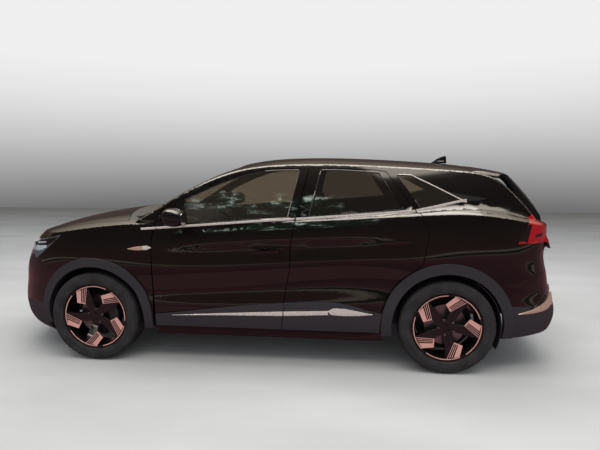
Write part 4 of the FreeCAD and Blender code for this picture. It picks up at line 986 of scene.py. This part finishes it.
mark = slab([(1.362, 1.5285), (1.418, 1.5285), (1.418, 1.537), (1.37, 1.537)], -0.0142, -0.006)
both_sides("SIDE_fin_mark", [mark], "body", satin_line)

# %% [markdown]
# ## Door mirrors
# The shell is a rounded pod, flat where its glass faces the rear, on a foot from the door.

# %% Door mirrors
MIRROR_X, MIRROR_Z = -0.634, 1.131
MIRROR_BACK = -0.563
MIRROR_SLOPE = 0.1
MIRROR_SECTIONS = [
    (-1.074, 0.026, 0.024), (-1.0715, 0.04, 0.035), (-1.066, 0.052, 0.045), (-1.056, 0.062, 0.054),
    (-1.04, 0.069, 0.06), (-1.01, 0.073, 0.063), (-0.96, 0.074, 0.063), (-0.92, 0.07, 0.06),
    (-0.9, 0.062, 0.054), (-0.892, 0.048, 0.042)]


def rounded(count, power):
    """Places around a rounded square of half size 1."""
    ways = [(math.cos(2 * math.pi * k / count), math.sin(2 * math.pi * k / count)) for k in range(count)]
    return [tuple(math.copysign(abs(v) ** power, v) for v in way) for way in ways]


pod = lofted([
    [(min(MIRROR_X + wide * c, MIRROR_BACK), y, MIRROR_Z + tall * s - MIRROR_SLOPE * wide * c)
     for c, s in rounded(40, 0.8)] for y, wide, tall in MIRROR_SECTIONS])
# The foot slants inwards and down to the door, and grows thinner on its way
foot = lofted([
    [(-0.64 + (0.036 - 0.006 * share) * c, -0.915 + 0.15 * share, 1.088 - 0.026 * share + 0.015 * s)
     for c, s in rounded(16, 1.0)] for share in (0.0, 0.25, 0.5, 0.75, 1.0)])
plate = lofted([
    [(MIRROR_BACK + out, -0.983 + 0.062 * c, 1.124 + 0.042 * s) for c, s in rounded(24, 0.6)]
    for out in (-0.001, 0.0012)])
both_sides("SIDE_mirror_pod", [pod, foot], "front_SIDE_door", gloss_black,
           50.0, "SIDE_mirror")
both_sides("SIDE_mirror_glass", [plate], "front_SIDE_door", mirror_glass, 30.0)

# %% [markdown]
# ## Fins beside the rear window
# A gloss black fin runs from each end of the spoiler down the side of the rear window.

# %% Rear window fins: X and Z inside, X and Z outside, depth
FIN_STATIONS = [
    (1.7, 1.43, 1.742, 1.432, 0.01), (1.735, 1.4, 1.792, 1.402, 0.04), (1.79, 1.33, 1.85, 1.345, 0.048),
    (1.835, 1.262, 1.912, 1.275, 0.048), (1.885, 1.19, 1.97, 1.2, 0.044), (1.935, 1.122, 2.016, 1.127, 0.036),
    (1.975, 1.076, 2.02, 1.078, 0.014)]
FIN_OUTSIDE_Y, FIN_LIP_Y, FIN_INSIDE_Y = -0.598, -0.59, -0.56
window_fin = lofted([
    [(x_in, FIN_OUTSIDE_Y, z_in),
     (x_in + 0.55 * (x_out - x_in), FIN_OUTSIDE_Y + 0.3 * depth, z_in + 0.62 * (z_out - z_in) + 0.004),
     (x_out, FIN_OUTSIDE_Y + depth, z_out), (x_out - 0.012, FIN_LIP_Y + depth, z_out - 0.012),
     (x_in, FIN_INSIDE_Y, z_in - 0.022)]
    for x_in, z_in, x_out, z_out, depth in FIN_STATIONS])
both_sides("SIDE_window_fin", [window_fin], "tailgate", gloss_black)

# %% [markdown]
# ## Covers that close open views
# Black cowl corners close the view beside the windscreen's foot, and liners close the rear
# wheel arches behind the tyres.

# %% Cowl corners and arch liners
COWL_TOP = [(-1.13, -0.6, 1.052), (-1.13, -0.772, 1.02), (-0.88, -0.8, 1.05), (-0.88, -0.64, 1.09)]
COWL_WALL = 0.012
cowl = lofted([COWL_TOP, [(x, y, z - COWL_WALL) for x, y, z in COWL_TOP]])
both_sides("SIDE_cowl_corner", [cowl], "body", satin_black)
liner = moved(arc(-24.0, 60.0, 0.378, 0.382, -0.85, -0.6, 24), WHEEL_PLACES["rear_left"][0], TYRE_RADIUS)
both_sides("SIDE_rear_arch_liner", [liner], "body", cladding)

# %% [markdown]
# ## Seats
# Seats are crowned cushions in dark cloth. Their sides pull in between the corners, two
# bolsters stand up beside the middle panel, and the seams are sewn in as grooves.

# %% Cushions
CUSHION_STEPS = 30
ROUNDNESS = 5.0
SEAM_DEPTH = 0.006


def cushion(half, seams, bolster, crown, pull):
    """A stuffed box: X is across its length, Y its width and Z its thickness, +Z the sitting side."""
    index, faces = {}, []
    marks = [-1 + 2 * i / CUSHION_STEPS for i in range(CUSHION_STEPS + 1)]
    for axis in range(3):
        for side in (-1.0, 1.0):
            for a, a_next in zip(marks, marks[1:]):
                for b, b_next in zip(marks, marks[1:]):
                    ring = []
                    for corner in ([a, b], [a_next, b], [a_next, b_next], [a, b_next]):
                        corner.insert(axis, side)
                        ring.append(index.setdefault(tuple(round(v, 5) for v in corner), len(index)))
                    faces.append(tuple(ring))
    points = []
    for c in index:
        size = sum(abs(v) ** ROUNDNESS for v in c) ** (1 / ROUNDNESS)
        x, y, z = (v / size for v in c)
        slim = 1.0 - pull * (1 - z * z) * (1 - min(1.0, x * x * y * y))
        lift = crown * (1 - x * x) * (1 - y * y)
        lift += bolster * ease((abs(y) - 0.55) / 0.3) * (1 - x ** 4)
        for across, place, width in seams:
            lift -= SEAM_DEPTH * math.exp(-(((x if across else y) - place) / width) ** 2)
        points.append((x * half[0] * slim, y * half[1] * slim, z * half[2] + max(0.0, z) ** 0.5 * lift))
    return points, faces


def pad(name, part, place, degrees, node):
    """Turn a cushion about the Y axis, put its middle at a place and let it stand for a node."""
    c, s = math.cos(math.radians(degrees)), math.sin(math.radians(degrees))
    points, faces = part
    at_place = [(place[0] + c * x + s * z, place[1] + y, place[2] - s * x + c * z) for x, y, z in points]
    made = piece(name, [(at_place, faces)], "body", seat_cloth, 60.0)
    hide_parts(node)


def posts(x, z, y):
    """The two thin posts that carry a headrest."""
    outline = [(x, z), (x + 0.012, z), (x + 0.018, z + 0.11), (x + 0.006, z + 0.11)]
    return [slab(outline, y + offset - 0.006, y + offset + 0.006) for offset in (-0.05, 0.05)]


CUSHION_SEAMS = [(True, -0.25, 0.03), (True, 0.15, 0.03), (False, -0.52, 0.03), (False, 0.52, 0.03)]
BACK_SEAMS = [
    (True, -0.3, 0.022), (True, 0.1, 0.022), (True, 0.45, 0.022), (False, -0.55, 0.03), (False, 0.55, 0.03)]
REAR_SEAMS = [
    (True, 0.0, 0.03), (False, -0.36, 0.012), (False, 0.36, 0.012), (False, -0.8, 0.012), (False, 0.8, 0.012)]
front_cushion = cushion((0.25, 0.245, 0.062), CUSHION_SEAMS, 0.022, 0.01, 0.02)
front_back = cushion((0.305, 0.245, 0.05), BACK_SEAMS, 0.02, 0.008, 0.02)
head_pad = cushion((0.062, 0.118, 0.044), [(False, -0.6, 0.05), (False, 0.6, 0.05)], 0.0, 0.006, 0.03)
SEAT_FOOT = [(-0.27, 0.25), (0.17, 0.25), (0.15, 0.4), (-0.25, 0.4)]
for side, y in (("left", -0.372), ("right", 0.372)):
    pad(side + "_front_cushion", front_cushion, (-0.085, y, 0.452), 3.0, "front_seats")
    pad(side + "_front_backrest", front_back, (0.243, y, 0.745), -78.5, "front_seats")
    pad(side + "_front_headrest", head_pad, (0.325, y, 1.172), -80.0, "front_seats")
    parts = [slab(SEAT_FOOT, y - 0.2, y + 0.2)] + posts(0.3, 1.01, y)
    piece(side + "_front_seat_base", parts, "body", cabin_plastic, 30.0)
rear_cushion = cushion((0.252, 0.56, 0.062), REAR_SEAMS, 0.008, 0.01, 0.01)
rear_back = cushion((0.278, 0.56, 0.048), REAR_SEAMS, 0.008, 0.01, 0.01)
pad("rear_bench", rear_cushion, (0.838, 0.0, 0.468), 3.0, "rear_seat")
pad("rear_backrest", rear_back, (1.16, 0.0, 0.735), -77.0, "rear_seat")
for side, y in (("left", -0.2875), ("right", 0.2875)):
    pad(side + "_rear_headrest", head_pad, (1.245, y, 1.122), -80.0, "rear_seat")
    piece(side + "_rear_headrest_posts", posts(1.22, 0.96, y), "body", cabin_plastic, 30.0)
print("seats made")

# %% [markdown]
# ## Floor
# The floor is pale concrete under and in front of the car. Its colour grows darker towards
# its far edge, where the backdrop begins; this darkening is painted shade. Mirror rays see dark ground in its
# place.

# %% Floor
FLOOR_HALF = 30.0
FLOOR_NEAR, FLOOR_FAR = -2.4, 10.9
APRON_NEAR = -40.0
floor_finish = finish("studio_floor", (0.5, 0.51, 0.52), 0.75, Specular_IOR_Level=0.2)
tree = floor_finish.node_tree
depth = made_node(tree, "SeparateXYZ", Vector=made_node(tree, "TexCoord").outputs["Object"]).outputs["Y"]
# Painted shade: the floor's colour darkens towards its far edge, into the backdrop's dark foot.
floor_tone_with_painted_shade = colour_steps(tree, spread(tree, depth, 2.0, FLOOR_FAR), [
    (0.0, 0.51, 0.53, 0.55), (0.32, 0.4, 0.42, 0.43), (0.7, 0.21, 0.22, 0.23), (1.0, 0.125, 0.135, 0.135)])
mottled = tree.nodes.new("ShaderNodeVectorMath")
mottled.operation = "SCALE"
plug(tree, mottled.inputs[0], floor_tone_with_painted_shade)
stains = noise(floor_finish, 0.9, 5.0, (0.5, 1.6, 1.0))
plug(tree, mottled.inputs["Scale"], spread(tree, stains, 0.3, 0.7, 0.9, 1.12))
glossy = made_node(tree, "LightPath").outputs["Is Glossy Ray"]
floor_look = mixed(tree, glossy, mottled.outputs["Vector"], (0.15, 0.06, 0.075, 1.0))
plug(tree, tree.nodes["Principled BSDF"].inputs["Base Color"], floor_look)


def ground(name, near, far):
    mesh = bpy.data.meshes.new(name)
    corners = [(-FLOOR_HALF, near, 0), (FLOOR_HALF, near, 0), (FLOOR_HALF, far, 0), (-FLOOR_HALF, far, 0)]
    mesh.from_pydata(corners, [], [(0, 1, 2, 3)])
    mesh.materials.append(floor_finish)
    made = shown(name, mesh)
    return made


ground("floor", FLOOR_NEAR, FLOOR_FAR)
apron = ground("floor_apron", APRON_NEAR, FLOOR_NEAR)
apron.visible_glossy = False
apron.visible_diffuse = False

# %% [markdown]
# ## Surroundings
# Black lacquer shows what stands around it. The camera sees a plain backdrop, pale above
# and dark where it meets the floor. Mirror rays see dark warm ground, a kerb line, a dim
# band of trees and a pale sky. None of that lights the car: rays that carry light from the
# world see one even grey.

# %% World
LIGHT_GREY = 0.62
PANE_LIGHT = (0.8, 0.62, 0.42, 1.0)
world = bpy.data.worlds.new("studio")
bpy.context.scene.world = world
world.use_nodes = True
tree = world.node_tree
light = tree.nodes["Background"]
light.inputs["Color"].default_value = (1.0, 1.0, 1.0, 1.0)
light.inputs["Strength"].default_value = LIGHT_GREY
way = made_node(tree, "TexCoord").outputs["Generated"]
axes = made_node(tree, "SeparateXYZ", Vector=way).outputs

# The backdrop goes by the sine of the angle above the horizon, from -0.1 to 0.2
backdrop = colour_steps(tree, spread(tree, axes["Z"], -0.1, 0.2), [
    (0.0, 0.135, 0.135, 0.137), (0.08, 0.18, 0.18, 0.18), (0.22, 0.29, 0.29, 0.29), (0.37, 0.424, 0.424, 0.424),
    (0.51, 0.557, 0.557, 0.557), (0.655, 0.68, 0.68, 0.68), (0.795, 0.78, 0.78, 0.78), (1.0, 0.863, 0.863, 0.863)])

# The reflected place goes by the same sine, from -1 straight down to 1 straight up. Ahead of
# the car the sky's lower edge lies higher.
climb = spread(tree, axes["Z"], -1.0, 1.0)
sky_shift = spread(tree, axes["X"], 0.05, 0.13, -0.012, 0.03)
around = colour_steps(tree, worked(tree, "MULTIPLY_ADD", sky_shift, spread(tree, climb, 0.55, 0.8), climb), [
    (0.0, 0.07, 0.03, 0.036), (0.3, 0.11, 0.045, 0.055), (0.4, 0.17, 0.065, 0.08), (0.425, 0.21, 0.085, 0.1),
    (0.429, 0.34, 0.29, 0.23), (0.434, 0.014, 0.03, 0.022), (0.4425, 0.014, 0.03, 0.022), (0.447, 0.46, 0.4, 0.32),
    (0.452, 0.46, 0.4, 0.32), (0.458, 0.11, 0.055, 0.052), (0.53, 0.075, 0.046, 0.042), (0.6, 0.06, 0.046, 0.038),
    (0.74, 0.03, 0.024, 0.022), (0.915, 0.026, 0.022, 0.022), (0.928, 0.3, 0.26, 0.21), (0.938, 3.0, 2.7, 2.3),
    (1.0, 3.4, 3.1, 2.8)])

# Beyond the car the evening sky comes down lower, and the hood and the roof's top show it
beyond = colour_steps(tree, climb, [
    (0.0, 0.07, 0.03, 0.036), (0.4, 0.15, 0.06, 0.07), (0.47, 0.08, 0.05, 0.045), (0.6, 0.055, 0.042, 0.036),
    (0.65, 0.2, 0.16, 0.12), (0.72, 0.42, 0.35, 0.27), (0.8, 0.9, 0.78, 0.62), (0.88, 1.8, 1.6, 1.3),
    (0.94, 3.0, 2.7, 2.3), (1.0, 3.4, 3.1, 2.8)])
both_ways = mixed(tree, spread(tree, axes["Y"], 0.04, 0.16), around, beyond)

# Trees stand only ahead of the rear door, from 34 to 45 degrees above the horizon
leaf = made_node(tree, "TexNoise", Vector=way, Scale=17.0, Detail=5.0, Roughness=0.62).outputs["Fac"]
leaves = colour_steps(tree, leaf, [
    (0.0, 0.01, 0.022, 0.012), (0.5, 0.03, 0.07, 0.04), (0.57, 0.35, 0.6, 0.42), (0.64, 4.6, 5.4, 4.8)])


def band(source, *marks):
    """Rises from 0 to 1 between the first two marks and falls back between the last two."""
    return colour_steps(tree, source, [(mark, level, level, level) for mark, level in zip(marks, (0, 1, 1, 0))])


tree_height = band(climb, 0.772, 0.785, 0.838, 0.856)
tree_width = band(spread(tree, axes["X"], -1.0, 1.0), 0.3, 0.34, 0.492, 0.515)
planted = mixed(tree, worked(tree, "MULTIPLY", tree_height, tree_width), both_ways, leaves)

# Two tinted panes in a row, as from one side window through the other, let warm daylight in
ray = made_node(tree, "LightPath").outputs
through = mixed(tree, spread(tree, ray["Transparent Depth"], 3.0, 4.0), backdrop, PANE_LIGHT)
seen = made_node(tree, "Background", Color=mixed(tree, ray["Is Glossy Ray"], through, planted))
direct = worked(tree, "MAXIMUM", ray["Is Camera Ray"], ray["Is Glossy Ray"])
either = made_node(tree, "MixShader", Fac=worked(tree, "MAXIMUM", direct, ray["Is Transmission Ray"]))
plug(tree, either.inputs[1], light.outputs["Background"])
plug(tree, either.inputs[2], seen.outputs["Background"])
plug(tree, tree.nodes["World Output"].inputs["Surface"], either.outputs["Shader"])

# %% [markdown]
# ## Lamps
# A wide soft lamp hangs over the car, and a long one stands high on the camera's side. The
# long one lights the side, and mirror rays don't see it.

# %% Lamps
def softbox(name, place, look_at, width, height, power, colour):
    lamp = bpy.data.lights.new(name, "AREA")
    lamp.shape = "RECTANGLE"
    lamp.size = width
    lamp.size_y = height
    lamp.energy = power
    lamp.color = colour
    made = shown(name, lamp)
    made.location = place
    made.rotation_euler = (Vector(look_at) - Vector(place)).to_track_quat("-Z", "Y").to_euler()
    return made


softbox("top_light", (0.0, 0.0, 5.5), (0.0, 0.0, 0.0), 7.0, 4.0, 260.0, (1.0, 0.95, 0.88))
side_lamp = softbox("left_light", (0.6, -3.6, 6.0), (0.2, -0.9, 1.0), 8.0, 1.3, 150.0, (1.0, 0.93, 0.84))
side_lamp.visible_glossy = False
bpy.context.scene.view_settings.view_transform = "Standard"
